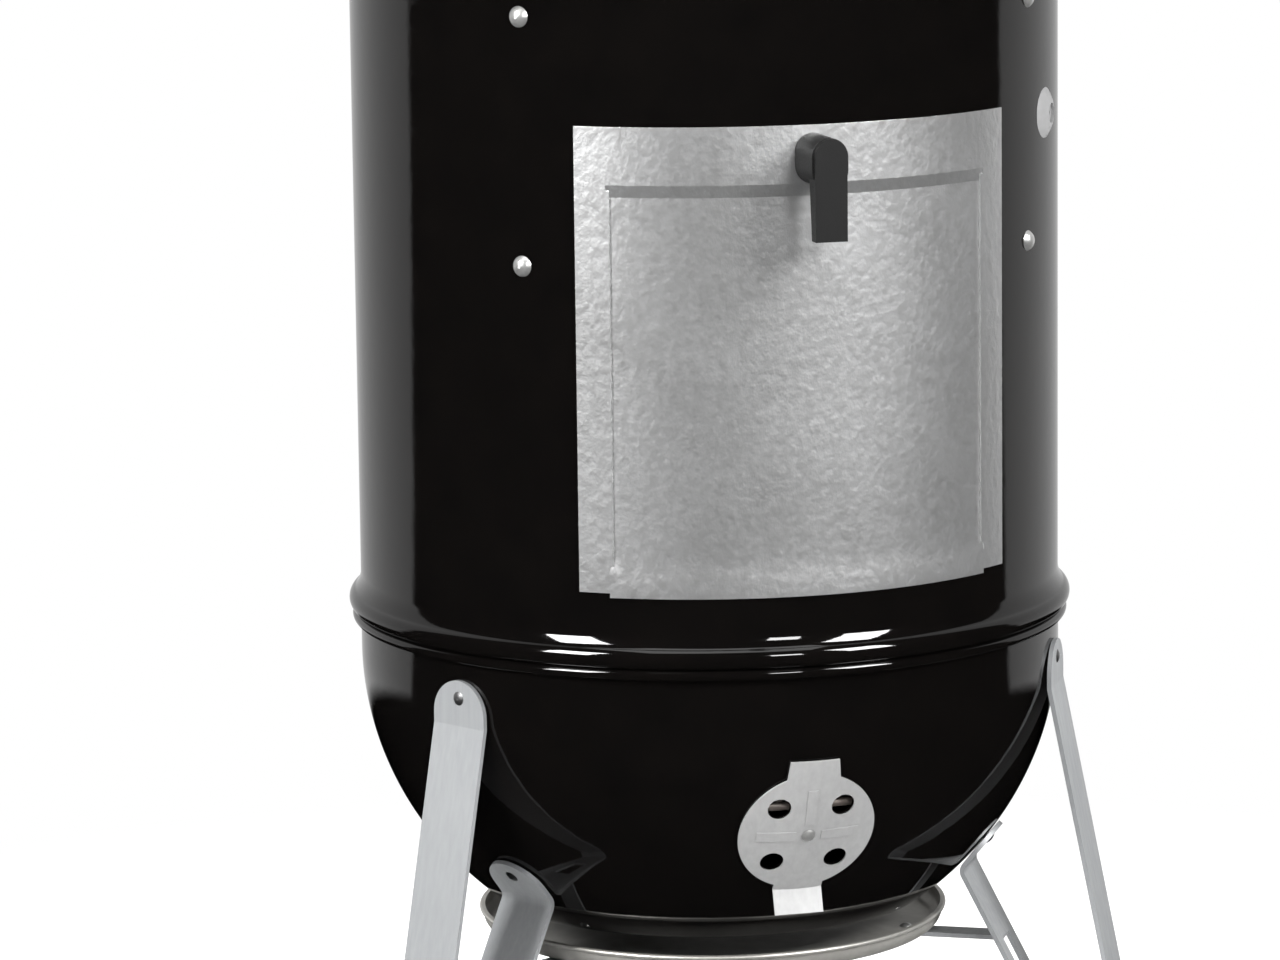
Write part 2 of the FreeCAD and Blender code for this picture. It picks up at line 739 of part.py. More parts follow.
def water_pan():
    """Deep pressed pan with a flat rim that hangs on the straps."""
    rim_z = joint_height + lower_bolt_height - pan_shelf_drop + rest_gap
    low = rim_z - pan_depth
    diagonal = pan_corner * (1 - math.sqrt(0.5))
    edges = []
    for inset in (0.0, pan_sheet):
        r = pan_radius - inset
        z = low + inset
        corner = pan_corner - inset
        edges.append(line((0, z), (r - corner, z)))
        part = diagonal * corner / pan_corner
        edges.append(arc((r - corner, z), (r - part, z + part), (r, z + corner)))
    edges.append(line((0, low), (0, low + pan_sheet)))
    inner_r = pan_radius - pan_sheet
    corner_z = low + pan_corner
    edges.append(line((pan_radius, corner_z), (pan_radius, rim_z)))
    edges.append(line((pan_radius, rim_z), (pan_rim_radius, rim_z)))
    edges.append(line((pan_rim_radius, rim_z), (pan_rim_radius, rim_z + pan_sheet)))
    edges.append(line((pan_rim_radius, rim_z + pan_sheet), (inner_r, rim_z + pan_sheet)))
    edges.append(line((inner_r, rim_z + pan_sheet), (inner_r, corner_z)))
    return spun(edges)


def probe_grommet():
    """Moulded grommet snapped into the wall, with a hole for a probe lead."""
    z = joint_height + grommet_height
    neck = radial_rod(grommet_neck_radius - 0.05, wall_inside - grommet_inner_proud, chamber_radius + 1, z)
    seat = Vector(0, -chamber_radius + 0.6, z)
    flange = dome_head(grommet_radius, grommet_proud + 1, seat, Vector(0, -1, 0))
    flange = flange.cut(Part.makeCylinder(chamber_radius, 100, Vector(0, 0, z - 50)))
    inner = radial_rod(grommet_inner_radius, wall_inside - grommet_inner_proud, wall_inside - 0.5, z)
    grommet = joined([neck, flange, inner])
    dish = radial_rod(6.5, chamber_radius + grommet_proud - 2.5, chamber_radius + 20, z)
    bore = radial_rod(probe_hole_radius, wall_inside - 20, chamber_radius + 20, z)
    return turned(grommet.cut([dish, bore]), grommet_azimuth)


# ---- lid fittings -------------------------------------------------------------------------
def lid_outside(offset):
    """Solid under the dome, grown by an offset, for fitting pieces to it."""
    edges = [
        ellipse_arc(chamber_radius + offset, lid_dome_height + offset, dome_centre_z, 0, 90),
        line((0, dome_centre_z + lid_dome_height + offset), (0, dome_centre_z)),
        line((0, dome_centre_z), (chamber_radius + offset, dome_centre_z)),
    ]
    return spun(edges)


def lid_handle():
    """Moulded bar on two posts shaped to the dome."""
    bottom = handle_top - handle_thickness
    half = (handle_length - handle_width) / 2
    y = (-handle_width / 2, handle_width / 2)
    bar = box((-half, half), y, (bottom, handle_top))
    ends = []
    posts = []
    for side in (-1, 1):
        centre = Vector(side * half, 0, bottom)
        ends.append(Part.makeCylinder(handle_width / 2, handle_thickness, centre))
        foot = Vector(side * handle_post_spacing / 2, 0, dome_centre_z + 100)
        posts.append(Part.makeCone(handle_width / 2, 0.42 * handle_width, bottom + 1 - foot.z, foot))
    handle = joined([bar] + ends)
    rims = [edge for edge in handle.Edges if abs(edge.BoundBox.ZMin - edge.BoundBox.ZMax) < 0.01]
    handle = handle.makeFillet(3.5, rims)
    handle = joined([handle] + posts).cut(lid_outside(0.1))
    for side in (-1, 1):
        low = Vector(side * handle_post_spacing / 2, 0, dome_centre_z + 50)
        handle = handle.cut(Part.makeCylinder(bolt_radius + thread_play, bottom - 2 - low.z, low))
    return handle


def dome_height_at(r, offset):
    share = r / (chamber_radius + offset)
    return dome_centre_z + (lid_dome_height + offset) * math.sqrt(1 - share * share)


def handle_screws():
    screws = []
    x = handle_post_spacing / 2
    seat = dome_height_at(x + bolt_head_radius, -sheet) - 0.3
    top = handle_top - handle_thickness - 4
    for side in (-1, 1):
        shank = Part.makeCylinder(bolt_radius, top - seat, Vector(side * x, 0, seat))
        head = dome_head(bolt_head_radius, bolt_head_height, Vector(side * x, 0, seat), Vector(0, 0, -1))
        screws.append(joined([shank, head]))
    return group(screws)


def gauge_pieces():
    """Thermometer in the lid: case, dial, lens, needle, stem and nut."""
    inside = gauge_radius - gauge_wall
    cup = Part.makeCylinder(gauge_radius, gauge_depth, Vector(0, 0, 1.5))
    cup = cup.cut(Part.makeCylinder(inside, gauge_depth, Vector(0, 0, 3.0)))
    boss = Part.makeCylinder(7.0, 1.7, Vector(0, 0, 0))
    lip = Part.makeTorus(gauge_radius - 1.2, 1.2, Vector(0, 0, 1.5 + gauge_depth))
    case = joined([cup, boss, lip]).cut(Part.makeCylinder(gauge_stem_radius + 0.05, 10, Vector(0, 0, -1)))
    dial = Part.makeCylinder(inside - 0.1, 1.0, Vector(0, 0, 7.5))
    dial = dial.cut(Part.makeCylinder(1.2, 4, Vector(0, 0, 6)))
    lens = Part.makeCylinder(inside - 0.1, 1.6, Vector(0, 0, 13.0))
    stem = Part.makeCylinder(gauge_stem_radius, gauge_stem_length + 6.0, Vector(0, 0, -gauge_stem_length))
    needle_hub = Part.makeCylinder(2.4, 1.4, Vector(0, 0, 9.2))
    needle_pin = Part.makeCylinder(1.1, 3.2, Vector(0, 0, 6.6))
    blade = box((-0.9, 0.9), (-6.0, inside - 5.0), (9.4, 10.2))
    needle = joined([needle_hub, needle_pin, blade])
    needle.rotate(origin, up, 135)
    nut = hexagon(13.0, gauge_nut_height, Vector(0, 0, -sheet - 1.2 - gauge_nut_height), up)
    nut = nut.cut(Part.makeCylinder(gauge_stem_radius + thread_play, 40, Vector(0, 0, -30)))
    pieces = {
        "thermometer_case": case,
        "thermometer_dial": dial,
        "thermometer_lens": lens,
        "thermometer_stem": stem,
        "thermometer_needle": needle,
        "thermometer_nut": nut,
    }
    for shape in pieces.values():
        shape.Placement = gauge_place().multiply(shape.Placement)
    return pieces


# ---- legs and heat shield -----------------------------------------------------------------
def side_point(r, z):
    """Point in the vertical plane of the front azimuth."""
    return Vector(0, -r, z)


def tab_point(angle):
    """Middle of the leg's tab, just outside the bowl."""
    r, z, slope = ellipse_place(bowl_radius, -bowl_depth_axis, bowl_centre_z, angle)
    away = tab_standoff + leg_sheet / 2
    return r + away * math.cos(slope), z + away * math.sin(slope)


def bent_strip(points, thickness, width, bend_radius):
    """Flat strip bent through a row of points in the vertical plane."""
    half = thickness / 2
    middle = [side_point(*p) for p in points]
    runs = [(b - a).normalize() for a, b in zip(middle, middle[1:])]
    across = Vector(1, 0, 0)
    edges = []
    ends = []
    for side in (-half, half):
        last = middle[0] + across.cross(runs[0]) * side
        ends.append(last)
        for corner, run_in, run_out in zip(middle[1:-1], runs, runs[1:]):
            turn = run_in.getAngle(run_out)
            trim = bend_radius * math.tan(turn / 2)
            start = corner - run_in * trim
            end = corner + run_out * trim
            inwards = (run_out - run_in).normalize()
            centre = corner + inwards * (bend_radius / math.cos(turn / 2))
            sign = 1 if across.cross(run_in).dot(inwards) > 0 else -1
            share = (bend_radius - sign * side) / bend_radius
            bend = [centre + (p - centre) * share for p in (start, end)]
            crown = centre - inwards * (bend_radius * share)
            edges.append(Part.LineSegment(last, bend[0]).toShape())
            edges.append(Part.Arc(bend[0], crown, bend[1]).toShape())
            last = bend[1]
        tip = middle[-1] + across.cross(runs[-1]) * side
        edges.append(Part.LineSegment(last, tip).toShape())
        ends.append(tip)
    edges.append(Part.LineSegment(ends[0], ends[2]).toShape())
    edges.append(Part.LineSegment(ends[1], ends[3]).toShape())
    face = Part.Face(Part.Wire(Part.__sortEdges__(edges)))
    strip = face.extrude(Vector(width, 0, 0))
    strip.translate(Vector(-width / 2, 0, 0))
    return strip


def round_end(strip, end, back, width):
    """Round the end of a strip; back is the next point along it."""
    tip = side_point(*end)
    run = (tip - side_point(*back)).normalize()
    centre = tip - run * (width / 2)
    across = run.cross(Vector(1, 0, 0))
    corner = Part.makeBox(2 * width, 20, width, Vector(-width, -10, 0))
    corner.Placement = FreeCAD.Placement(centre, FreeCAD.Rotation(up, run)).multiply(corner.Placement)
    plug = Part.makeCylinder(width / 2, 20, centre - across * 10, across)
    return strip.cut(corner.cut(plug))


def leg(azimuth):
    """One strip: bolted at the band, down to a folded foot and back up to a tab on the bowl."""
    half = leg_sheet / 2
    top_r = bowl_radius + leg_gap + half
    top = (top_r, joint_height - leg_top_drop)
    bend = (top_r, joint_height - leg_bend_drop)
    foot_out = (leg_foot_radius, half)
    foot_in = (leg_foot_radius - leg_foot_length, half)
    tab_low = tab_point(tab_low_angle)
    tab_high = tab_point(tab_high_angle)
    corners = [top, bend, foot_out, foot_in, tab_low, tab_high]
    strip = bent_strip(corners, leg_sheet, leg_width, leg_bend_radius)
    strip = round_end(strip, top, bend, leg_width)
    strip = round_end(strip, tab_high, tab_low, leg_width)

    share = (tongue_strip_top - leg_sheet / 2 - foot_in[1]) / (tab_low[1] - foot_in[1])
    root_r = foot_in[0] + share * (tab_low[0] - foot_in[0])
    root_z = tongue_strip_top - leg_sheet / 2
    slot_length = root_r - tongue_strip_end
    down = (side_point(*foot_in) - side_point(*tab_low)).normalize()
    slot_width = tongue_strip_width + 1
    slot = Part.makeBox(slot_width, 30, slot_length, Vector(-slot_width / 2, -15, 0))
    turn = FreeCAD.Rotation(up, down)
    slot.Placement = FreeCAD.Placement(side_point(root_r, root_z), turn).multiply(slot.Placement)
    tongue = radial_box(tongue_strip_width, tongue_strip_end, root_r + 1, root_z - half, root_z + half)
    strip = joined([strip.cut(slot), tongue])

    holes = [radial_rod(bolt_hole_radius, top_r - 20, top_r + 20, joint_height - leg_bolt_drop)]
    holes.append(tab_rod(bolt_hole_radius, -20, 20))
    holes.append(Part.makeCylinder(bolt_radius - 0.8, 40, Vector(0, -shield_screw_radius(), root_z - 20)))
    return turned(strip.cut(holes), azimuth)


def shield_screw_radius():
    return tongue_strip_end + 9.0


def tab_middle():
    low = tab_point(tab_low_angle)
    high = tab_point(tab_high_angle)
    return side_point(0.35 * low[0] + 0.65 * high[0], 0.35 * low[1] + 0.65 * high[1])


def tab_normal():
    low = side_point(*tab_point(tab_low_angle))
    high = side_point(*tab_point(tab_high_angle))
    return Vector(1, 0, 0).cross(high - low).normalize()


def tab_rod(radius, start, end):
    """Cylinder through the leg's tab, square to it; outwards is positive."""
    normal = tab_normal()
    return rod(tab_middle() + normal * start, tab_middle() + normal * end, radius)


def bowl_with_holes():
    """The bowl with its air, rivet and leg bolt holes."""
    cuts = []
    for azimuth in bowl_damper_azimuths:
        cuts += damper_holes(bowl_damper_place(), azimuth)
    for azimuth in leg_azimuths.values():
        z = joint_height - leg_bolt_drop
        cuts.append(turned(radial_rod(bolt_hole_radius, bowl_radius - 20, bowl_radius + 20, z), azimuth))
        cuts.append(turned(tab_rod(bolt_hole_radius, -20, 20), azimuth))
    return bowl_shell().cut(cuts)


def leg_bolts():
    """Low-headed bolts: one at the band and one at the tab of each leg."""
    bolts = []
    front_way = Vector(0, -1, 0)
    face = bowl_radius + leg_gap + leg_sheet
    for azimuth in leg_azimuths.values():
        z = joint_height - leg_bolt_drop
        shank = radial_rod(bolt_radius, bowl_radius - sheet - nut_height - 2, face + 0.5, z)
        head = dome_head(leg_bolt_head_radius, leg_bolt_head_height, Vector(0, -face, z), front_way)
        bolts.append(turned(joined([shank, head]), azimuth))
        tail = leg_sheet / 2 + tab_standoff + sheet + nut_height + 3
        shank = tab_rod(bolt_radius, -tail, leg_sheet / 2 + 0.5)
        seat = tab_middle() + tab_normal() * (leg_sheet / 2)
        head = dome_head(leg_bolt_head_radius, leg_bolt_head_height, seat, tab_normal())
        bolts.append(turned(joined([shank, head]), azimuth))
    return group(bolts)


def leg_nuts():
    nuts = []
    seat = bowl_radius - sheet - 0.2
    for azimuth in leg_azimuths.values():
        z = joint_height - leg_bolt_drop
        nut = hexagon(nut_flats, nut_height, Vector(0, -seat, z), Vector(0, 1, 0))
        nut = nut.cut(radial_rod(bolt_radius + thread_play, seat - 20, seat + 5, z))
        nuts.append(turned(nut, azimuth))
        inside = leg_sheet / 2 + tab_standoff + sheet + 0.8
        base = tab_middle() - tab_normal() * inside
        nut = hexagon(nut_flats, nut_height, base, tab_normal() * -1)
        nut = nut.cut(tab_rod(bolt_radius + thread_play, -40, 20))
        nuts.append(turned(nut, azimuth))
    return group(nuts)


def heat_shield():
    """Shallow dished pan under the bowl, screwed to the legs' tongues."""
    low = tongue_strip_top + 0.1
    high = low + shield_wall
    rim_z = high - shield_lip_height
    diagonal = 1 - math.sqrt(0.5)
    edges = []
    for inset in (0.0, shield_sheet):
        r = shield_radius - inset
        z = low + inset
        corner = shield_corner - inset
        edges.append(line((0, z), (r - corner, z)))
        edges.append(arc((r - corner, z), (r - diagonal * corner, z + diagonal * corner), (r, z + corner)))
        edges.append(line((r, z + corner), (r, rim_z)))
    edges.append(line((0, low), (0, low + shield_sheet)))
    edges.append(line((shield_radius - shield_sheet, rim_z), (shield_radius - shield_sheet, high)))
    edges.append(line((shield_radius - shield_sheet, high), (shield_radius + shield_lip, high)))
    edges.append(line((shield_radius + shield_lip, high), (shield_radius + shield_lip, rim_z)))
    edges.append(line((shield_radius + shield_lip, rim_z), (shield_radius, rim_z)))
    pan = spun(edges)
    for azimuth in leg_azimuths.values():
        hole = Part.makeCylinder(bolt_radius - 0.8, 20, Vector(0, -shield_screw_radius(), low - 10))
        pan = pan.cut(turned(hole, azimuth))
    return pan


def shield_screws():
    screws = []
    top = tongue_strip_top + 0.1 + shield_sheet
    for azimuth in leg_azimuths.values():
        seat = Vector(0, -shield_screw_radius(), top)
        shank = Part.makeCylinder(bolt_radius - 0.85, 9, seat - Vector(0, 0, 8.5))
        head = dome_head(4.5, 2.4, seat, up)
        screws.append(turned(joined([shank, head]), azimuth))
    return group(screws)


# ---- write every node ---------------------------------------------------------------------
def main():
    os.makedirs("parts", exist_ok=True)
    save("charcoal_bowl", bowl_with_holes())
    save("cooking_chamber", chamber_shell())
    save("lid", lid_shell())
    for index, azimuth in enumerate(bowl_damper_azimuths):
        disc = damper_disc(bowl_damper_place(), azimuth, bowl_damper_sphere, bowl_damper_gap)
        save("bowl_damper_%d" % (index + 1), disc)
        rivet = damper_rivet(bowl_damper_place(), azimuth, bowl_damper_gap)
        save("bowl_damper_rivet_%d" % (index + 1), rivet)
    save("lid_damper", damper_disc(lid_damper_place(), lid_damper_azimuth, lid_damper_sphere, lid_damper_gap))
    save("lid_damper_rivet", damper_rivet(lid_damper_place(), lid_damper_azimuth, lid_damper_gap))
    save("lid_handle", lid_handle())
    save("lid_handle_screws", handle_screws())
    for name, shape in gauge_pieces().items():
        save(name, shape)
    save("access_door", access_door())
    save("door_hook_left", door_hook(-hook_azimuth))
    save("door_hook_right", door_hook(hook_azimuth))
    save("door_latch_knob", latch_knob())
    save("door_latch_spindle", latch_spindle())
    save("door_latch_tongue", latch_tongue())
    save("door_latch_washer", latch_washer())
    save("door_latch_nut", latch_nut())
    for number, azimuth in enumerate(strap_azimuths):
        save("grate_strap_%d" % (number + 1), support_strap(azimuth))
    save("grate_strap_bolts", strap_bolts())
    save("grate_strap_nuts", strap_nuts())
    save("probe_grommet", probe_grommet())
    upper_z = joint_height + upper_bolt_height + shelf_rise + rest_gap
    lower_z = joint_height + lower_bolt_height + shelf_rise + rest_gap
    save("upper_cooking_grate", wire_grate(upper_grate_radius, upper_z, grate_bar_wire, grate_bar_count))
    save("lower_cooking_grate", wire_grate(lower_grate_radius, lower_z, grate_bar_wire, grate_bar_count))
    save("charcoal_grate", wire_grate(fuel_grate_radius, fuel_grate_z(), fuel_bar_wire, fuel_bar_count))
    save("charcoal_ring", fuel_ring())
    save("water_pan", water_pan())
    for name, azimuth in leg_azimuths.items():
        save("leg_" + name, leg(azimuth))
    save("leg_bolts", leg_bolts())
    save("leg_nuts", leg_nuts())
    save("heat_shield", heat_shield())
    save("heat_shield_screws", shield_screws())


main()
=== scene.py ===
import bpy
import json
import math
from mathutils import Matrix, Vector

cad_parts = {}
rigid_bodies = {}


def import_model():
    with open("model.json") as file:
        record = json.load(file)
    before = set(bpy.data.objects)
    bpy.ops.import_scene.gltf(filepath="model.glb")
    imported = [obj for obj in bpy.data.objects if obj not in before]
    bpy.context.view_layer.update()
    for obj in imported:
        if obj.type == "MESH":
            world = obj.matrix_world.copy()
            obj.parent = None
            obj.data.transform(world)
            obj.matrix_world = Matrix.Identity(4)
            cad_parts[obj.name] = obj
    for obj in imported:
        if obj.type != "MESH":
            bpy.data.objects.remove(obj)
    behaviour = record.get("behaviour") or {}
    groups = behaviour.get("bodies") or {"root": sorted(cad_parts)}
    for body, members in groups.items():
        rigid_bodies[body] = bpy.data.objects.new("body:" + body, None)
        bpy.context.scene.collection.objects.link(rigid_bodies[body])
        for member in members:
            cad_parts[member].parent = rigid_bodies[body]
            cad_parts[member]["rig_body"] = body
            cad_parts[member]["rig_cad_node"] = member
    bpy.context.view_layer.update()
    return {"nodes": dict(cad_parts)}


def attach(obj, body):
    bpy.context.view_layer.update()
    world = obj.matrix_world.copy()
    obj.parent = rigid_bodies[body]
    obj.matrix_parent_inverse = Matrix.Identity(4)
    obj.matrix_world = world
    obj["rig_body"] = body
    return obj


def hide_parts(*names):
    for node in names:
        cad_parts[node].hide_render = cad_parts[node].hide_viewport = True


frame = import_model()


# ---- Ground and studio -----------------------------------------------------------------
# A plain pale floor that carries on as the backdrop. Polished enamel mirrors a dark room
# in front of the smoker and a white wall behind it; matt pieces see soft white all round.
view_azimuth = -16.6
floor_radius = 16.0
wall_from = 109.0
near_dark_radius = 1.25
room_black = (0.0005, 0.0005, 0.0005, 1)
wall_white = (0.66, 0.66, 0.66, 1)


def node(tree, kind, place=(0, 0), **settings):
    """Add a node with its settings."""
    made = tree.nodes.new(kind)
    made.location = place
    for key, value in settings.items():
        setattr(made, key, value)
    return made


def sums(tree, operation, first, second=None):
    """A Math node fed by links or numbers."""
    made = node(tree, "ShaderNodeMath", operation=operation)
    for socket, value in zip(made.inputs, (first, second)):
        if value is None:
            continue
        if isinstance(value, (int, float)):
            socket.default_value = value
        else:
            tree.links.new(value, socket)
    return made.outputs[0]


def behind_mask(tree, across, along):
    """1 where a direction points behind the smoker as seen from its front, 0 in front."""
    turn = math.radians(view_azimuth)
    sine, cosine = math.sin(turn), math.cos(turn)
    across_part = sums(tree, "MULTIPLY", across, cosine)
    right = sums(tree, "ADD", across_part, sums(tree, "MULTIPLY", along, sine))
    across_part = sums(tree, "MULTIPLY", across, -sine)
    ahead = sums(tree, "ADD", across_part, sums(tree, "MULTIPLY", along, cosine))
    behind = sums(tree, "MULTIPLY", ahead, -1.0)
    angle = sums(tree, "ARCTAN2", sums(tree, "ABSOLUTE", right), behind)
    soft = node(tree, "ShaderNodeMapRange", interpolation_type="SMOOTHSTEP")
    tree.links.new(angle, soft.inputs["Value"])
    soft.inputs["From Min"].default_value = math.radians(wall_from - 1.5)
    soft.inputs["From Max"].default_value = math.radians(wall_from + 1.5)
    return soft.outputs["Result"]


def emission(tree, colour, strength):
    made = node(tree, "ShaderNodeEmission")
    made.inputs["Color"].default_value = colour
    made.inputs["Strength"].default_value = strength
    return made


def mixed(tree, factor, first, second):
    made = node(tree, "ShaderNodeMixShader")
    tree.links.new(factor, made.inputs[0])
    tree.links.new(first, made.inputs[1])
    tree.links.new(second, made.inputs[2])
    return made.outputs[0]


def pose_free(obj):
    """Leave a piece at the origin, unturned and unscaled, with its place in its mesh."""
    bpy.ops.object.select_all(action="DESELECT")
    obj.select_set(True)
    bpy.context.view_layer.objects.active = obj
    bpy.ops.object.transform_apply(location=True, rotation=True, scale=True)


bpy.ops.object.select_all(action="DESELECT")
bpy.ops.mesh.primitive_circle_add(
    vertices=96, radius=floor_radius, fill_type="NGON", location=(0, 0, -0.0005)
)
floor = bpy.context.object
floor.name = "floor"
pose_free(floor)
paper = bpy.data.materials.new("floor_paper")
paper.use_nodes = True
tree = paper.node_tree
tree.nodes.clear()
grain = node(tree, "ShaderNodeTexNoise")
grain.inputs["Scale"].default_value = 3.0
place = node(tree, "ShaderNodeNewGeometry")
tree.links.new(place.outputs["Position"], grain.inputs["Vector"])
shade = node(tree, "ShaderNodeMapRange")
tree.links.new(grain.outputs["Fac"], shade.inputs["Value"])
shade.inputs["To Min"].default_value = 0.80
shade.inputs["To Max"].default_value = 0.86
matt = node(tree, "ShaderNodeBsdfDiffuse")
tree.links.new(shade.outputs["Result"], matt.inputs["Color"])
glow = emission(tree, (1, 1, 1, 1), 0.4)
lit = node(tree, "ShaderNodeAddShader")
tree.links.new(matt.outputs[0], lit.inputs[0])
tree.links.new(glow.outputs[0], lit.inputs[1])
split = node(tree, "ShaderNodeSeparateXYZ")
tree.links.new(place.outputs["Position"], split.inputs[0])
reach = node(tree, "ShaderNodeVectorMath", operation="LENGTH")
tree.links.new(place.outputs["Position"], reach.inputs[0])
far = node(tree, "ShaderNodeMapRange", interpolation_type="SMOOTHSTEP")
tree.links.new(reach.outputs["Value"], far.inputs["Value"])
far.inputs["From Min"].default_value = near_dark_radius
far.inputs["From Max"].default_value = near_dark_radius + 0.25
behind = behind_mask(tree, split.outputs[0], split.outputs[1])
wall = sums(tree, "MULTIPLY", behind, far.outputs["Result"])
dark_room = emission(tree, room_black, 1.0).outputs[0]
mirrored = mixed(tree, wall, dark_room, emission(tree, wall_white, 1.0).outputs[0])
ray = node(tree, "ShaderNodeLightPath")
paper_edge = node(tree, "ShaderNodeMapRange", interpolation_type="SMOOTHSTEP")
tree.links.new(reach.outputs["Value"], paper_edge.inputs["Value"])
paper_edge.inputs["From Min"].default_value = 0.45
paper_edge.inputs["From Max"].default_value = 1.1
far_white = sums(tree, "MULTIPLY", paper_edge.outputs["Result"], ray.outputs["Is Camera Ray"])
lit = mixed(tree, far_white, lit.outputs[0], emission(tree, (1, 1, 1, 1), 1.0).outputs[0])
seen = mixed(tree, ray.outputs["Is Glossy Ray"], lit, mirrored)
out = node(tree, "ShaderNodeOutputMaterial")
tree.links.new(seen, out.inputs["Surface"])
floor.data.materials.append(paper)

world = bpy.data.worlds.new("studio")
bpy.context.scene.world = world
world.use_nodes = True
tree = world.node_tree
tree.nodes.clear()
sky = node(tree, "ShaderNodeTexCoord")
split = node(tree, "ShaderNodeSeparateXYZ")
tree.links.new(sky.outputs["Generated"], split.inputs[0])
soft_white = node(tree, "ShaderNodeBackground")
soft_white.inputs["Color"].default_value = (1, 1, 1, 1)
soft_white.inputs["Strength"].default_value = 0.42
dark = node(tree, "ShaderNodeBackground")
dark.inputs["Color"].default_value = room_black
bright = node(tree, "ShaderNodeBackground")
bright.inputs["Color"].default_value = wall_white
behind = behind_mask(tree, split.outputs[0], split.outputs[1])
mirrored = mixed(tree, behind, dark.outputs[0], bright.outputs[0])
ray = node(tree, "ShaderNodeLightPath")
room = mixed(tree, ray.outputs["Is Glossy Ray"], soft_white.outputs[0], mirrored)
backdrop = node(tree, "ShaderNodeBackground")
backdrop.inputs["Color"].default_value = (1, 1, 1, 1)
seen = mixed(tree, ray.outputs["Is Camera Ray"], room, backdrop.outputs[0])
out = node(tree, "ShaderNodeOutputWorld")
tree.links.new(seen, out.inputs["Surface"])


def softbox(name, azimuth, elevation, distance, width, tall, watts, aim=(0, 0, 0.6)):
    """Area lamp at an azimuth measured from the viewing side, aimed at the smoker."""
    turn = math.radians(view_azimuth + azimuth)
    rise = math.radians(elevation)
    flat = distance * math.cos(rise)
    data = bpy.data.lights.new(name, "AREA")
    data.shape = "RECTANGLE"
    data.size = width
    data.size_y = tall
    data.energy = watts
    lamp = bpy.data.objects.new(name, data)
    bpy.context.scene.collection.objects.link(lamp)
    height = aim[2] + distance * math.sin(rise)
    lamp.location = (flat * math.sin(turn), -flat * math.cos(turn), height)
    lamp.rotation_mode = "QUATERNION"
    lamp.rotation_quaternion = (lamp.location - Vector(aim)).to_track_quat("Z", "Y")


softbox("left_softbox", -46, 28, 3.0, 0.8, 1.3, 165)
softbox("right_softbox", 52, 30, 3.0, 0.8, 1.3, 130)
softbox("top_softbox", 10, 82, 3.0, 2.2, 2.2, 40)
softbox("low_front_fill", 24, 20, 3.6, 0.6, 0.6, 34, (0, 0, 0.75))

eye_distance = 4.002
eye_height = 1.168
eye_offset = -0.003
lens = bpy.data.cameras.new("eye")
lens.sensor_width = 36.0
lens.lens = 168.86
lens.shift_x = -0.05
lens.clip_start = 0.05
lens.clip_end = 100.0
eye = bpy.data.objects.new("eye", lens)
bpy.context.scene.collection.objects.link(eye)
swing = Matrix.Rotation(math.radians(view_azimuth), 4, "Z")
tilt = Matrix.Rotation(math.radians(90 - 9.95), 4, "X")
roll = Matrix.Rotation(math.radians(-0.59), 4, "Z")
eye.matrix_world = swing @ Matrix.Translation((eye_offset, -eye_distance, eye_height)) @ tilt @ roll
bpy.context.scene.camera = eye
bpy.context.scene.view_settings.view_transform = "Standard"


# ---- Cooking chamber -------------------------------------------------------------------
# A rolled cylinder of 1.6 mm steel sheet, flared over the bowl's rim and with a rolled top
# edge, fired all over with black porcelain enamel. An opening for the door is cut in it.
chamber_radius = 0.236
sheet = 0.0016
bowl_seam = 0.384
lid_seam = 0.836
rim_roll = 0.0036
neck_radius = 0.2339
neck_depth = 0.018
flare_height = 0.025
flare_crest = 0.008
flare_crest_height = 0.0065
seam_gap = 0.0004
shell_steps = 320
opening_low = 0.444
opening_high = 0.728
opening_sweep = 67.2
enamel_black = (0.0012, 0.0011, 0.0011, 1)
enamel_warm = (0.0024, 0.002, 0.0018, 1)


def curve_through(a, b, c, count):
    """Points on the arc through three (radius, height) points, ends included."""
    (ax, ay), (bx, by), (cx, cy) = a, b, c
    d = 2 * (ax * (by - cy) + bx * (cy - ay) + cx * (ay - by))
    aa, bb, cc = ax * ax + ay * ay, bx * bx + by * by, cx * cx + cy * cy
    ux = (aa * (by - cy) + bb * (cy - ay) + cc * (ay - by)) / d
    uy = (aa * (cx - bx) + bb * (ax - cx) + cc * (bx - ax)) / d
    start = math.atan2(ay - uy, ax - ux)
    middle = (math.atan2(by - uy, bx - ux) - start) % math.tau
    end = (math.atan2(cy - uy, cx - ux) - start) % math.tau
    if middle > end:
        end -= math.tau
    radius = math.hypot(ax - ux, ay - uy)
    turns = [start + end * step / count for step in range(count + 1)]
    return [(ux + radius * math.cos(t), uy + radius * math.sin(t)) for t in turns]


def flared_edge(seam, inset, count=10):
    """Skin of a flared lower edge, from its plug up to the plain wall."""
    crest = chamber_radius + flare_crest - inset
    shelf = seam + seam_gap + inset
    under = (chamber_radius + 0.5 * flare_crest - inset, shelf)
    turn = (under[0], seam + 0.55 * flare_height)
    soft = (chamber_radius + 0.12 * flare_crest - inset, seam + 0.78 * flare_height)
    top = (chamber_radius - inset, seam + flare_height)
    lower = curve_through(under, (crest, seam + flare_crest_height + 0.4 * inset), turn, 2 * count)
    plug = [(neck_radius - inset, seam - neck_depth), (neck_radius - inset, shelf)]
    return plug + lower + curve_through(turn, soft, top, count)[1:]


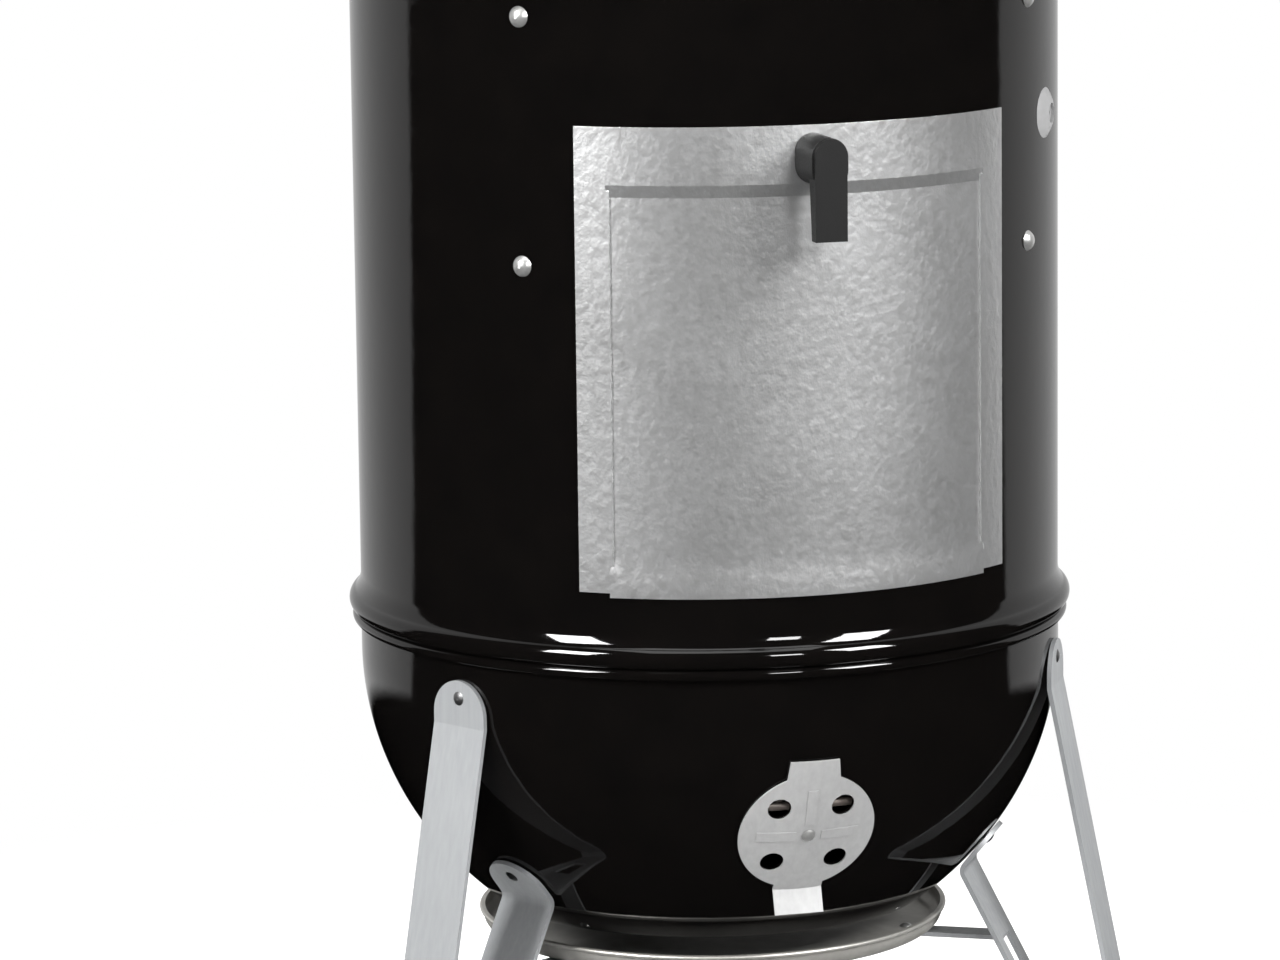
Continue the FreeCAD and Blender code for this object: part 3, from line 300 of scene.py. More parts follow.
def rolled_edge(inner, top, count=20):
    """Rolled rim on a wall, from its inner face over the top to its outer face."""
    low = rim_roll + math.sqrt(rim_roll ** 2 - (rim_roll - sheet) ** 2)
    crown = (inner + rim_roll, top)
    outside = (inner + 2 * rim_roll, top - rim_roll)
    over = curve_through((inner, top - rim_roll), crown, outside, count)
    turned_in = (inner + 1.5 * rim_roll, top - 1.866 * rim_roll)
    under = curve_through(over[-1], turned_in, (inner + sheet, top - low), count // 2)
    return over + under[1:]


def at_azimuth(radius, height, azimuth=0.0):
    """Place at an azimuth, which turns from the front towards the right."""
    turn = math.radians(azimuth)
    return Vector((radius * math.sin(turn), -radius * math.cos(turn), height))


def traced(name, corners, closed=True):
    """Trace an outline in edit mode, starting from one corner of a plane primitive."""
    bpy.ops.object.select_all(action="DESELECT")
    bpy.ops.mesh.primitive_plane_add(size=0.002, location=corners[0])
    piece = bpy.context.object
    piece.name = name
    bpy.ops.object.transform_apply(location=True, rotation=True, scale=True)
    bpy.ops.object.mode_set(mode="EDIT")
    bpy.ops.mesh.select_all(action="SELECT")
    bpy.ops.mesh.merge(type="CENTER")
    last = corners[0]
    for corner in corners[1:] + ([corners[0]] if closed else []):
        bpy.ops.mesh.extrude_vertices_move(TRANSFORM_OT_translate={"value": corner - last})
        last = corner
    bpy.ops.mesh.select_all(action="SELECT")
    return piece


def tidy_mesh(piece, smooth=32.0):
    """Merge doubles, face outwards, and smooth all but real corners."""
    bpy.ops.mesh.select_all(action="SELECT")
    bpy.ops.mesh.remove_doubles(threshold=0.000002)
    bpy.ops.mesh.normals_make_consistent(inside=False)
    bpy.ops.object.mode_set(mode="OBJECT")
    bpy.ops.object.shade_smooth_by_angle(angle=math.radians(smooth))
    return piece


def spun(name, outline, sweep=360.0, middle=0.0, steps=shell_steps, smooth=32.0):
    """Spin an outline of (radius, height) points about the smoker's upright axis."""
    start = middle + sweep / 2 if sweep < 360 else 0.0
    piece = traced(name, [at_azimuth(r, z, start) for r, z in outline])
    bpy.ops.mesh.spin(steps=steps, angle=math.radians(sweep), center=(0, 0, 0), axis=(0, 0, 1))
    if sweep < 360:
        bpy.ops.mesh.select_all(action="SELECT")
        bpy.ops.mesh.remove_doubles(threshold=0.000002)
        bpy.ops.mesh.select_all(action="DESELECT")
        bpy.ops.mesh.select_non_manifold(
            extend=False, use_boundary=True, use_wire=False,
            use_multi_face=False, use_non_contiguous=False, use_verts=False,
        )
        bpy.ops.mesh.edge_face_add()
    return tidy_mesh(piece, smooth)


def shaped(piece, kind, **settings):
    """Add a modifier and apply it."""
    bpy.ops.object.select_all(action="DESELECT")
    piece.select_set(True)
    bpy.context.view_layer.objects.active = piece
    change = piece.modifiers.new(kind.lower(), kind)
    for key, value in settings.items():
        setattr(change, key, value)
    bpy.ops.object.modifier_apply(modifier=change.name)
    return piece


def cut_away(piece, tools):
    """Cut tools out of a piece and drop them."""
    for tool in tools:
        shaped(piece, "BOOLEAN", operation="DIFFERENCE", solver="EXACT", object=tool)
        bpy.data.objects.remove(tool)
    return piece


def coated(slot_name):
    """Fresh material for a slot, with its Principled shader."""
    made = bpy.data.materials.new(slot_name + "_finish")
    made.use_nodes = True
    made.node_tree.nodes.clear()
    shader = node(made.node_tree, "ShaderNodeBsdfPrincipled")
    out = node(made.node_tree, "ShaderNodeOutputMaterial", (300, 0))
    made.node_tree.links.new(shader.outputs[0], out.inputs["Surface"])
    return made, made.node_tree, shader


def new_group(name, inputs, outputs):
    """Node group with named number inputs and outputs."""
    group = bpy.data.node_groups.new(name, "ShaderNodeTree")
    for label, value in inputs:
        kind = "NodeSocketFloat" if isinstance(value, (int, float)) else "NodeSocketColor"
        socket = group.interface.new_socket(name=label, in_out="INPUT", socket_type=kind)
        socket.default_value = value
    for label, kind in outputs:
        group.interface.new_socket(name=label, in_out="OUTPUT", socket_type=kind)
    return group, node(group, "NodeGroupInput", (-800, 0)), node(group, "NodeGroupOutput", (600, 0))


def stretched_noise(tree, scale, detail=3.0, stretch=(1, 1, 1), roughness=0.55):
    """Noise on Object coordinates, stretched along the axes."""
    coords = node(tree, "ShaderNodeTexCoord")
    mapping = node(tree, "ShaderNodeMapping")
    mapping.inputs["Scale"].default_value = stretch
    tree.links.new(coords.outputs["Object"], mapping.inputs["Vector"])
    noise = node(tree, "ShaderNodeTexNoise")
    tree.links.new(mapping.outputs[0], noise.inputs["Vector"])
    if isinstance(scale, (int, float)):
        noise.inputs["Scale"].default_value = scale
    else:
        tree.links.new(scale, noise.inputs["Scale"])
    noise.inputs["Detail"].default_value = detail
    noise.inputs["Roughness"].default_value = roughness
    return noise.outputs["Fac"]


def ranged(tree, value, low, high, start=0.0, end=1.0):
    """Rescale a value, clamped."""
    made = node(tree, "ShaderNodeMapRange")
    tree.links.new(value, made.inputs["Value"])
    limits = (("From Min", low), ("From Max", high), ("To Min", start), ("To Max", end))
    for label, number in limits:
        if isinstance(number, (int, float)):
            made.inputs[label].default_value = number
        else:
            tree.links.new(number, made.inputs[label])
    return made.outputs["Result"]


def blended(tree, factor, first, second):
    """Mix two colours, given as values or links."""
    made = node(tree, "ShaderNodeMix", data_type="RGBA")
    tree.links.new(factor, made.inputs["Factor"])
    for socket, colour in zip((made.inputs[6], made.inputs[7]), (first, second)):
        if isinstance(colour, tuple):
            socket.default_value = colour
        else:
            tree.links.new(colour, socket)
    return made.outputs[2]


def bumped(tree, shader, height, strength, distance):
    """Feed a height into a shader's normal."""
    bump = node(tree, "ShaderNodeBump")
    bump.inputs["Strength"].default_value = strength
    bump.inputs["Distance"].default_value = distance
    tree.links.new(height, bump.inputs["Height"])
    tree.links.new(bump.outputs[0], shader.inputs["Normal"])


# Thin dust and the odd scratch, which most finishes share.
wear, wear_in, wear_out = new_group(
    "handling_wear",
    [("Dust Size", 90.0), ("Dust Amount", 0.5), ("Scratch Size", 60.0)],
    [("Dust", "NodeSocketFloat"), ("Scratches", "NodeSocketFloat")],
)
specks = stretched_noise(wear, wear_in.outputs["Dust Size"], 6.0)
broad = stretched_noise(wear, 4.0, 2.0)
half_dust = sums(wear, "MULTIPLY", wear_in.outputs["Dust Amount"], 0.5)
dust_edge = sums(wear, "SUBTRACT", 0.95, half_dust)
fine_share = sums(wear, "MULTIPLY", specks, 0.6)
dust_field = sums(wear, "ADD", fine_share, sums(wear, "MULTIPLY", broad, 0.4))
dust = ranged(wear, dust_field, dust_edge, 1.0)
wear.links.new(dust, wear_out.inputs["Dust"])
coords = node(wear, "ShaderNodeTexCoord")
skew = node(wear, "ShaderNodeMapping")
skew.inputs["Rotation"].default_value = (0.5, 0.3, 0.9)
skew.inputs["Scale"].default_value = (1.0, 0.06, 1.0)
wear.links.new(coords.outputs["Object"], skew.inputs["Vector"])
cells = node(wear, "ShaderNodeTexVoronoi", feature="DISTANCE_TO_EDGE")
wear.links.new(skew.outputs[0], cells.inputs["Vector"])
wear.links.new(wear_in.outputs["Scratch Size"], cells.inputs["Scale"])
lines = ranged(wear, cells.outputs["Distance"], 0.0, 0.012, 1.0, 0.0)
scratched = sums(wear, "MULTIPLY", lines, ranged(wear, broad, 0.55, 0.62))
wear.links.new(scratched, wear_out.inputs["Scratches"])


def worn(tree, dust_size=90.0, dust_amount=0.5, scratch_size=60.0):
    """Place the shared wear in a material; gives its dust and scratch masks."""
    made = node(tree, "ShaderNodeGroup", node_tree=wear)
    made.inputs["Dust Size"].default_value = dust_size
    made.inputs["Dust Amount"].default_value = dust_amount
    made.inputs["Scratch Size"].default_value = scratch_size
    return made.outputs["Dust"], made.outputs["Scratches"]


enamel, tree, shader = coated("enamel")
dust, scratches = worn(tree, 140.0, 0.25, 26.0)
orange_peel = stretched_noise(tree, 34.0, 2.0)
fine_peel = stretched_noise(tree, 160.0, 2.0)
shader.inputs["IOR"].default_value = 1.42
tint = blended(tree, orange_peel, enamel_black, enamel_warm)
dusted = blended(tree, sums(tree, "MULTIPLY", dust, 0.12), tint, (0.07, 0.067, 0.062, 1))
tree.links.new(dusted, shader.inputs["Base Color"])
polish = ranged(tree, stretched_noise(tree, 7.0, 4.0), 0.3, 0.8, 0.035, 0.075)
dulled = sums(tree, "MULTIPLY", sums(tree, "ADD", dust, scratches), 0.12)
tree.links.new(sums(tree, "ADD", polish, dulled), shader.inputs["Roughness"])
peel = sums(tree, "ADD", orange_peel, sums(tree, "MULTIPLY", fine_peel, 0.25))
bumped(tree, shader, peel, 0.16, 0.0006)

outer = flared_edge(bowl_seam, 0.0)
inner = flared_edge(bowl_seam, sheet)
rim = rolled_edge(chamber_radius - sheet, lid_seam)
chamber = spun("chamber_shell", outer + rim[::-1] + inner[::-1])
corners = [(0.225, opening_low), (0.25, opening_low), (0.25, opening_high), (0.225, opening_high)]
opening = spun("opening_tool", corners, opening_sweep, 0.0, 80)
cut_away(chamber, [opening])
bpy.ops.object.shade_smooth_by_angle(angle=math.radians(32))
chamber.data.materials.append(enamel)
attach(chamber, "chamber")
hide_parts("cooking_chamber")


# ---- Charcoal bowl ---------------------------------------------------------------------
# One deep pressing of 1.6 mm steel with a rolled rim and a dished floor, enamelled like the
# chamber. Three sets of four air holes lie under the dampers.
bowl_radius = 0.2363
bowl_band = 0.0253
bowl_depth_axis = 0.2212
bowl_floor_angle = 52.0
bowl_floor_dish = 0.0084
bowl_centre = bowl_seam - bowl_band
damper_drop = 0.1152
air_hole_radius = 0.0078
air_hole_offset = 0.0215


def bowl_skin(inset, count=56):
    """Outer or inner face of the bowl, from under the rim down to the axis."""
    r_axis, z_axis = bowl_radius - inset, bowl_depth_axis - inset
    turns = [math.radians(bowl_floor_angle) * step / count for step in range(count + 1)]
    wall = [(r_axis * math.cos(t), bowl_centre - z_axis * math.sin(t)) for t in turns]
    edge_r, edge_z = wall[-1]
    dish_radius = (edge_r ** 2 + bowl_floor_dish ** 2) / (2 * bowl_floor_dish)
    low = edge_z - bowl_floor_dish
    floor_turns = [math.asin(edge_r / dish_radius) * (1 - step / 12) for step in range(1, 13)]
    floor = [(dish_radius * math.sin(t), low + dish_radius * (1 - math.cos(t))) for t in floor_turns]
    return wall + floor


def seat_on(r_axis, z_axis, centre, degrees, azimuth):
    """Matrix of a seat on a domed wall: local Z out of the wall, local Y up along it."""
    t = math.radians(degrees)
    r, z = r_axis * math.cos(t), centre + z_axis * math.sin(t)
    slope = math.atan2(math.sin(t) / z_axis, math.cos(t) / r_axis)
    out = Vector((0, -math.cos(slope), math.sin(slope)))
    along = Vector((0, math.sin(slope), math.cos(slope)))
    turn = Matrix((Vector((1, 0, 0)), along, out)).transposed().to_4x4()
    return Matrix.Rotation(math.radians(azimuth), 4, "Z") @ Matrix.Translation((0, -r, z)) @ turn


def air_hole_tools(seat):
    """Four punches at a damper's seat."""
    tools = []
    for x in (-air_hole_offset, air_hole_offset):
        for y in (-air_hole_offset, air_hole_offset):
            bpy.ops.object.select_all(action="DESELECT")
            bpy.ops.mesh.primitive_cylinder_add(
                vertices=48, radius=air_hole_radius, depth=0.03, location=(x, y, 0)
            )
            tool = bpy.context.object
            tool.matrix_world = seat @ Matrix.Translation((x, y, 0))
            tools.append(tool)
    return tools


damper_degrees = math.degrees(math.asin((damper_drop - bowl_band) / bowl_depth_axis))
skin_out, skin_in = bowl_skin(0.0), bowl_skin(sheet)
bowl_rim = rolled_edge(bowl_radius - sheet, bowl_seam)
bowl = spun("bowl_shell", bowl_rim + skin_out + skin_in[::-1])
punches = []
for azimuth in (0, 120, -120):
    seat = seat_on(bowl_radius, -bowl_depth_axis, bowl_centre, damper_degrees, azimuth)
    punches += air_hole_tools(seat)
cut_away(bowl, punches)
bpy.ops.object.shade_smooth_by_angle(angle=math.radians(32))
bowl.data.materials.append(enamel)
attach(bowl, "base")
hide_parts("charcoal_bowl")


# ---- Lid -------------------------------------------------------------------------------
# A domed pressing with the same flare and plug as the chamber's foot, enamelled black, with
# four air holes at the back under its damper.
dome_rise = 0.150
dome_centre = lid_seam + flare_height


def dome_skin(inset, count=64):
    """Outer or inner face of the dome, from its band up to the axis."""
    r_axis, z_axis = chamber_radius - inset, dome_rise - inset
    turns = [math.radians(90) * step / count for step in range(1, count + 1)]
    return [(r_axis * math.cos(t), dome_centre + z_axis * math.sin(t)) for t in turns]


outer = flared_edge(lid_seam, 0.0) + dome_skin(0.0)
inner = flared_edge(lid_seam, sheet) + dome_skin(sheet)
lid = spun("lid_shell", outer + inner[::-1])
cut_away(lid, air_hole_tools(seat_on(chamber_radius, dome_rise, dome_centre, 60.0, 180)))
bpy.ops.object.shade_smooth_by_angle(angle=math.radians(32))
lid.data.materials.append(enamel)
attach(lid, "lid")
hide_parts("lid")


# ---- Water pan -------------------------------------------------------------------------
# A deep drawn pan with a flat rim that hangs on the straps' lower shelves. It is enamelled.
pan_rim_height = 0.6299
pan_low = pan_rim_height - 0.110
pan_radius = 0.188
pan_rim_radius = 0.205
pan_corner = 0.045
pan_sheet = 0.0014


def pan_skin(inset):
    """Face of the pan from the axis out and up to its rim."""
    r, z, corner = pan_radius - inset, pan_low + inset, pan_corner - inset
    part = 1 - math.sqrt(0.5)
    middle = (r - part * corner, z + part * corner)
    bend = curve_through((r - corner, z), middle, (r, z + corner), 16)
    return [(0.0, z)] + bend


pan_outline = pan_skin(0.0) + [(pan_radius, pan_rim_height), (pan_rim_radius, pan_rim_height)]
pan_rim_top = pan_rim_height + pan_sheet
pan_outline += [(pan_rim_radius, pan_rim_top), (pan_radius - pan_sheet, pan_rim_top)]
pan = spun("water_pan_shell", pan_outline + pan_skin(pan_sheet)[::-1], steps=192)
pan.data.materials.append(enamel)
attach(pan, "water_pan")
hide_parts("water_pan")


# ---- Access door -----------------------------------------------------------------------
# One curved sheet of mill-finish aluminium with a panel pressed in between plain sides, its
# cut edges broken, and two steel hooks spot-welded inside that hang on the opening's edge.
door_light = (0.93, 0.93, 0.925, 1)
door_grey = (0.68, 0.685, 0.69, 1)
grain_depth = 0.0004


def reworked(cad_name, name, edge=0.0004, rounds=2, smooth=35.0):
    """Copy of a CAD node with doubles merged, flat faces joined and its edges rounded."""
    piece = frame["nodes"][cad_name].copy()
    piece.data = piece.data.copy()
    bpy.context.scene.collection.objects.link(piece)
    piece.parent = None
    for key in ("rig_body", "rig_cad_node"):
        del piece[key]
    piece.name = name
    piece.data.materials.clear()
    bpy.ops.object.select_all(action="DESELECT")
    piece.select_set(True)
    bpy.context.view_layer.objects.active = piece
    bpy.ops.mesh.customdata_custom_splitnormals_clear()
    bpy.ops.object.mode_set(mode="EDIT")
    bpy.ops.mesh.select_all(action="SELECT")
    bpy.ops.mesh.remove_doubles(threshold=0.000002)
    bpy.ops.mesh.dissolve_limited(angle_limit=math.radians(0.6))
    bpy.ops.object.mode_set(mode="OBJECT")
    if edge:
        limit = math.radians(38)
        shaped(piece, "BEVEL", width=edge, segments=rounds, limit_method="ANGLE", angle_limit=limit)
    bpy.ops.object.shade_smooth_by_angle(angle=math.radians(smooth))
    return shaped(piece, "WEIGHTED_NORMAL", keep_sharp=True, weight=80)


def sheen(name, light, dark, low, high, grain, stretch, relief, metal, blotch, dust=0.4):
    """Metal finish: two tones, broad blotches, drawn grain, dust and scratches."""
    made, tree, shader = coated(name)
    lines = stretched_noise(tree, grain, 4.0, stretch)
    patches = stretched_noise(tree, blotch, 5.0)
    specks, marks = worn(tree, 120.0, dust, 40.0)
    line_share = sums(tree, "MULTIPLY", lines, 0.45)
    tone = sums(tree, "ADD", line_share, sums(tree, "MULTIPLY", patches, 0.55))
    colour = blended(tree, ranged(tree, tone, 0.3, 0.7), dark, light)
    colour = blended(tree, sums(tree, "MULTIPLY", specks, 0.3), colour, (0.42, 0.40, 0.37, 1))
    tree.links.new(colour, shader.inputs["Base Color"])
    shader.inputs["Metallic"].default_value = metal
    rough = ranged(tree, tone, 0.3, 0.7, high, low)
    rough = sums(tree, "ADD", rough, sums(tree, "MULTIPLY", specks, 0.15))
    tree.links.new(rough, shader.inputs["Roughness"])
    height = sums(tree, "SUBTRACT", lines, sums(tree, "MULTIPLY", marks, 0.12))
    bumped(tree, shader, height, relief, grain_depth)
    return made


mill_finish = sheen(
    "aluminium_sheet",
    light=door_light, dark=door_grey,
    low=0.28, high=0.42, grain=190.0, stretch=(1, 1, 0.8),
    relief=0.85, metal=0.95, blotch=9.0,
)
door = reworked("access_door", "door_panel", 0.00045, 3, 9.0)
door.data.materials.append(mill_finish)
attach(door, "door")
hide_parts("access_door")


# ---- Zinc-plated hardware --------------------------------------------------------------
# Bolts, rivets, nuts, hooks and the latch's steel pieces: cold-headed or cut, then plated.
bright_zinc = sheen(
    "zinc_steel",
    light=(0.64, 0.64, 0.63, 1), dark=(0.44, 0.44, 0.43, 1),
    low=0.26, high=0.42, grain=420.0, stretch=(1, 1, 1),
    relief=0.10, metal=0.85, blotch=60.0,
)
zinc_nodes = [
    "bowl_damper_rivet_1", "bowl_damper_rivet_2", "bowl_damper_rivet_3", "lid_damper_rivet",
    "lid_handle_screws", "door_hook_left", "door_hook_right", "door_latch_spindle",
    "door_latch_tongue", "door_latch_washer", "door_latch_nut", "grate_strap_bolts",
    "grate_strap_nuts", "leg_nuts", "heat_shield_screws", "thermometer_nut",
]
leg_fastener = sheen(
    "leg_fastener",
    light=(0.30, 0.30, 0.30, 1), dark=(0.16, 0.16, 0.16, 1),
    low=0.35, high=0.5, grain=420.0, stretch=(1, 1, 1),
    relief=0.10, metal=1.0, blotch=60.0,
)


def finished(cad_names, material):
    """Give CAD nodes that stay as they are their finish."""
    for cad_name in cad_names:
        mesh = frame["nodes"][cad_name].data
        mesh.materials.clear()
        mesh.materials.append(material)


finished(zinc_nodes, bright_zinc)
finished(["leg_bolts"], leg_fastener)


# ---- Door latch ------------------------------------------------------------------------
# A hub and hanging lever moulded in one from black glass-filled nylon, with soft edges and
# the fine matt grain of its mould.
nylon, tree, shader = coated("black_nylon")
mould_grain = stretched_noise(tree, 900.0, 3.0)
flow = stretched_noise(tree, 45.0, 3.0, (1, 1, 0.3))
specks, marks = worn(tree, 160.0, 0.5, 90.0)
colour = blended(tree, flow, (0.004, 0.004, 0.004, 1), (0.008, 0.008, 0.008, 1))
dusted = blended(tree, sums(tree, "MULTIPLY", specks, 0.3), colour, (0.06, 0.058, 0.055, 1))
tree.links.new(dusted, shader.inputs["Base Color"])
shader.inputs["Specular IOR Level"].default_value = 0.22
tree.links.new(ranged(tree, mould_grain, 0.3, 0.7, 0.42, 0.56), shader.inputs["Roughness"])
relief = sums(tree, "SUBTRACT", mould_grain, sums(tree, "MULTIPLY", marks, 0.5))
bumped(tree, shader, relief, 0.25, 0.0002)
knob = reworked("door_latch_knob", "latch_lever", 0.0016, 4)
knob.data.materials.append(nylon)
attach(knob, "door_latch")
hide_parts("door_latch_knob")


# ---- Dampers ---------------------------------------------------------------------------
# Dished discs stamped from aluminium sheet: four air holes, pressed stiffening bars, a stop
# tab at the top and a thumb tab bent out at the foot. Each turns on a rivet.
stamped = sheen(
    "damper_aluminium",
    light=(0.33, 0.33, 0.328, 1), dark=(0.26, 0.26, 0.26, 1),
    low=0.46, high=0.58, grain=240.0, stretch=(1, 1, 0.5),
    relief=0.10, metal=0.45, blotch=14.0,
)
dampers = {
    "bowl_damper_1": "bowl_damper_front",
    "bowl_damper_2": "bowl_damper_right",
    "bowl_damper_3": "bowl_damper_left",
    "lid_damper": "lid_damper",
}
for cad_name, body in dampers.items():
    disc = reworked(cad_name, cad_name + "_disc", 0.00025, 2)
    disc.data.materials.append(stamped)
    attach(disc, body)
    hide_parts(cad_name)


# ---- Legs ------------------------------------------------------------------------------
# Strips of drawn aluminium bent into a long loop, bolted at the bowl's band, folded flat at
# the ground and bolted again under the bowl. Their matt skin is finely drawn along the strip.
drawn = sheen(
    "leg_aluminium",
    light=(0.33, 0.338, 0.345, 1), dark=(0.26, 0.268, 0.275, 1),
    low=0.44, high=0.56, grain=260.0, stretch=(1, 1, 0.06),
    relief=0.10, metal=0.5, blotch=9.0,
)
for side in ("front_left", "front_right", "rear"):
    strip = reworked("leg_" + side, "leg_strip_" + side, 0.0006, 3)
    strip.data.materials.append(drawn)
    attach(strip, "base")
    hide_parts("leg_" + side)


# ---- Heat shield -----------------------------------------------------------------------
# A shallow spun pan of aluminised steel under the bowl, warmed to a faint straw colour.
shield_radius = 0.157
shield_low = 0.1609
shield_high = shield_low + 0.014
shield_sheet = 0.0012
shield_corner = 0.009
shield_lip = 0.0024
shield_lip_height = 0.003


def shield_skin(inset):
    r, z, corner = shield_radius - inset, shield_low + inset, shield_corner - inset
    part = 1 - math.sqrt(0.5)
    middle = (r - part * corner, z + part * corner)
    return [(0.0, z)] + curve_through((r - corner, z), middle, (r, z + corner), 10)


lip_out = shield_radius + shield_lip
lip_low = shield_high - shield_lip_height
lip_middle = (lip_out, lip_low + 0.0015)
lip_under = (shield_radius + 0.85 * shield_lip, lip_low + 0.0006)
lip_over = (lip_out - 0.0004, shield_high - 0.0004)
lip = curve_through((shield_radius, lip_low), lip_under, lip_middle, 5)
lip += curve_through(lip_middle, lip_over, (lip_out - 0.0014, shield_high), 5)[1:]
shield_outline = shield_skin(0.0) + lip + [(shield_radius - shield_sheet, shield_high)]
shield = spun("shield_pan", shield_outline + shield_skin(shield_sheet)[::-1], steps=224)
warmed = sheen(
    "shield_finish",
    light=(0.60, 0.585, 0.55, 1), dark=(0.44, 0.43, 0.40, 1),
    low=0.38, high=0.52, grain=90.0, stretch=(1, 1, 1),
    relief=0.15, metal=0.8, blotch=7.0, dust=0.7,
)
shield.data.materials.append(warmed)
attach(shield, "base")
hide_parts("heat_shield")


# ---- Grates, straps and charcoal ring --------------------------------------------------
# Nickel-plated wire grates on zinc-plated straps, and a plain steel grate and perforated
# ring for the charcoal, blued and browned by the fire.
plated_wire = sheen(
    "plated_wire",
    light=(0.70, 0.69, 0.67, 1), dark=(0.48, 0.46, 0.43, 1),
    low=0.14, high=0.34, grain=300.0, stretch=(1, 1, 1),
    relief=0.06, metal=1.0, blotch=12.0, dust=0.5,
)
plated_strap = sheen(
    "plated_strap",
    light=(0.52, 0.52, 0.51, 1), dark=(0.36, 0.36, 0.36, 1),
    low=0.26, high=0.42, grain=160.0, stretch=(1, 1, 0.2),
    relief=0.12, metal=1.0, blotch=25.0, dust=0.5,
)
fired_steel = sheen(
    "fuel_steel",
    light=(0.33, 0.30, 0.28, 1), dark=(0.15, 0.115, 0.095, 1),
    low=0.38, high=0.68, grain=130.0, stretch=(1, 1, 1),
    relief=0.3, metal=0.85, blotch=16.0, dust=0.8,
)
finished(["upper_cooking_grate", "lower_cooking_grate"], plated_wire)
finished(["grate_strap_%d" % number for number in (1, 2, 3, 4)], plated_strap)
finished(["charcoal_grate", "charcoal_ring"], fired_steel)


# ---- Probe grommet ---------------------------------------------------------------------
# A soft moulded silicone plug snapped into the chamber's wall, with a small lead hole.
silicone, tree, shader = coated("grey_silicone")
bloom = stretched_noise(tree, 160.0, 4.0)
specks = worn(tree, 200.0, 0.7, 90.0)[0]
colour = blended(tree, bloom, (0.15, 0.15, 0.152, 1), (0.21, 0.21, 0.21, 1))
dusted = blended(tree, sums(tree, "MULTIPLY", specks, 0.4), colour, (0.14, 0.135, 0.13, 1))
tree.links.new(dusted, shader.inputs["Base Color"])
tree.links.new(ranged(tree, bloom, 0.3, 0.7, 0.36, 0.5), shader.inputs["Roughness"])
bumped(tree, shader, bloom, 0.15, 0.0003)
grommet = reworked("probe_grommet", "grommet_moulding", 0.0007, 3, 50.0)
grommet.data.materials.append(silicone)
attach(grommet, "chamber")
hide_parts("probe_grommet")


# ---- Lid handle ------------------------------------------------------------------------
# A bar on two posts, moulded in the same black nylon and screwed from inside the lid.
handle = reworked("lid_handle", "handle_moulding", 0.0009, 3)
handle.data.materials.append(nylon)
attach(handle, "lid")
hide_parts("lid_handle")


# ---- Thermometer -----------------------------------------------------------------------
# A bimetal dial in a polished steel cup: white printed face with a ring of marks, black
# needle, and a clear lens.
cup_steel = sheen(
    "gauge_steel",
    light=(0.68, 0.68, 0.67, 1), dark=(0.52, 0.52, 0.51, 1),
    low=0.12, high=0.24, grain=380.0, stretch=(1, 1, 1),
    relief=0.06, metal=1.0, blotch=30.0,
)
finished(["thermometer_case", "thermometer_stem"], cup_steel)
face_print, tree, shader = coated("gauge_face")
ink_mottle = stretched_noise(tree, 300.0, 3.0)
colour = blended(tree, ink_mottle, (0.80, 0.80, 0.79, 1), (0.87, 0.87, 0.86, 1))
tree.links.new(colour, shader.inputs["Base Color"])
polish = ranged(tree, stretched_noise(tree, 120.0, 2.0), 0.3, 0.7, 0.35, 0.5)
tree.links.new(polish, shader.inputs["Roughness"])
finished(["thermometer_dial"], face_print)
needle_paint, tree, shader = coated("gauge_needle")
paint_mottle = stretched_noise(tree, 500.0, 2.0)
colour = blended(tree, paint_mottle, (0.015, 0.015, 0.015, 1), (0.03, 0.03, 0.03, 1))
tree.links.new(colour, shader.inputs["Base Color"])
polish = ranged(tree, stretched_noise(tree, 200.0, 2.0), 0.3, 0.7, 0.3, 0.42)
tree.links.new(polish, shader.inputs["Roughness"])
finished(["thermometer_needle"], needle_paint)
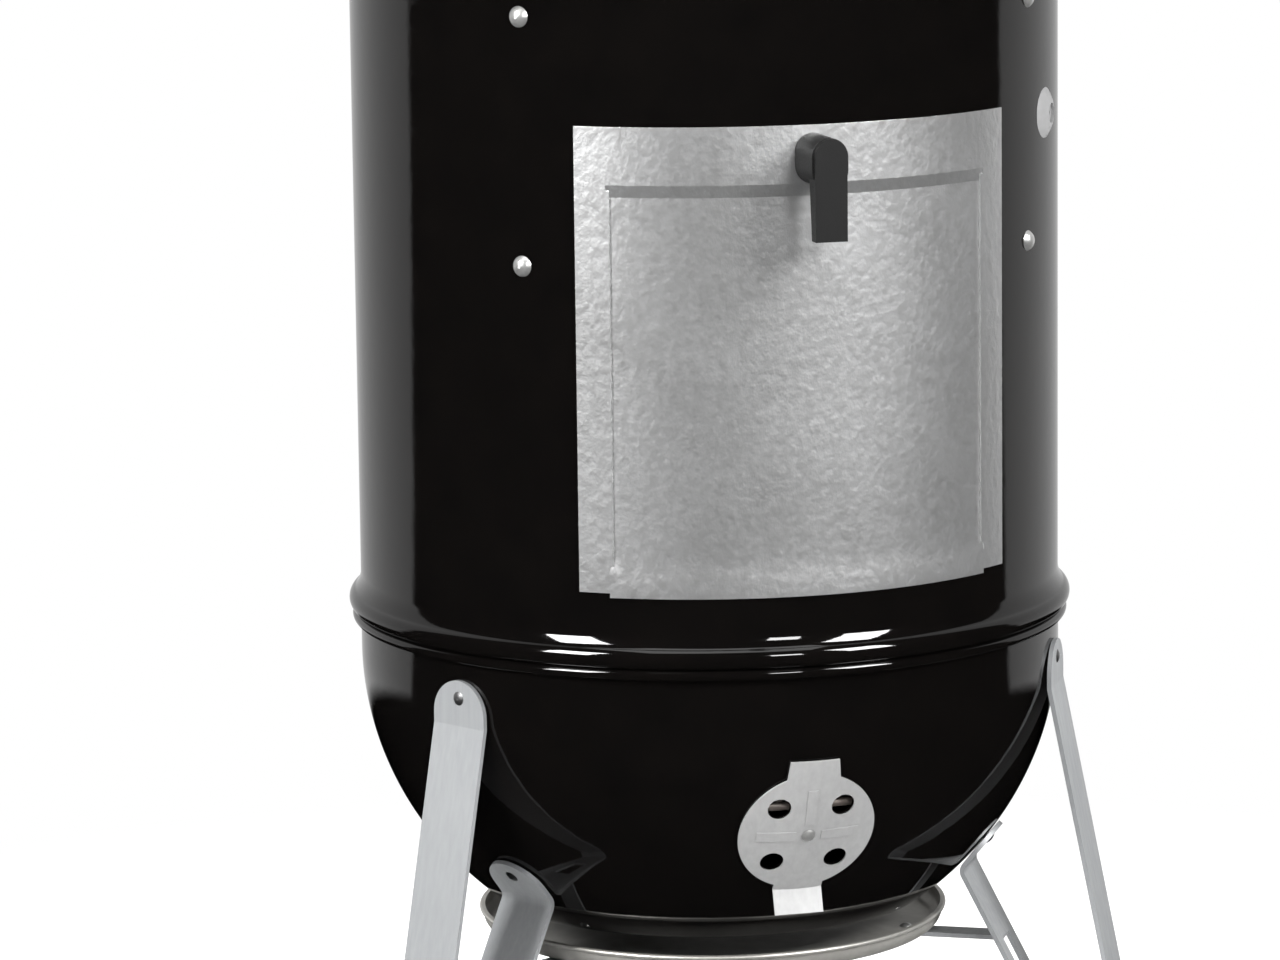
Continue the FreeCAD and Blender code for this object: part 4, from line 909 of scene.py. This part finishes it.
clear, tree, shader = coated("gauge_glass")
shader.inputs["Base Color"].default_value = (0.97, 0.99, 0.99, 1)
shader.inputs["Transmission Weight"].default_value = 1.0
shader.inputs["IOR"].default_value = 1.47
polish = ranged(tree, stretched_noise(tree, 60.0, 3.0), 0.4, 0.8, 0.01, 0.05)
tree.links.new(polish, shader.inputs["Roughness"])
finished(["thermometer_lens"], clear)

dial_seat = seat_on(chamber_radius, dome_rise, dome_centre, 35.0, 0)
dial_face_height = 0.0085
mark_ring = 0.0205
mark_thickness = 0.0001
mark_gap = 0.00001


def dial_mark(width, length):
    """One printed mark, lying on the dial's seat with its outer end on the ring."""
    bpy.ops.object.select_all(action="DESELECT")
    bpy.ops.mesh.primitive_plane_add(size=1.0)
    mark = bpy.context.object
    bpy.ops.object.mode_set(mode="EDIT")
    bpy.ops.mesh.select_all(action="SELECT")
    bpy.ops.transform.resize(value=(width, length, 1))
    place = (0, mark_ring - length / 2, dial_face_height + mark_gap)
    bpy.ops.transform.translate(value=place)
    bpy.ops.mesh.extrude_region_move(TRANSFORM_OT_translate={"value": (0, 0, mark_thickness)})
    bpy.ops.mesh.select_all(action="SELECT")
    bpy.ops.mesh.normals_make_consistent(inside=False)
    bpy.ops.object.mode_set(mode="OBJECT")
    return mark


patterns = [dial_mark(0.0007, 0.0032), dial_mark(0.0004, 0.0018)]
marks = []
for step in range(27):
    pattern = patterns[step % 2]
    mark = pattern.copy()
    mark.data = pattern.data.copy()
    bpy.context.scene.collection.objects.link(mark)
    mark.matrix_world = dial_seat @ Matrix.Rotation(math.radians(130 - 10 * step), 4, "Z")
    marks.append(mark)
for pattern in patterns:
    bpy.data.objects.remove(pattern)
bpy.ops.object.select_all(action="DESELECT")
for mark in marks:
    mark.select_set(True)
bpy.context.view_layer.objects.active = marks[0]
bpy.ops.object.join()
dial_marks = bpy.context.object
dial_marks.name = "dial_marks"
pose_free(dial_marks)
dial_marks.data.materials.append(needle_paint)
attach(dial_marks, "lid")
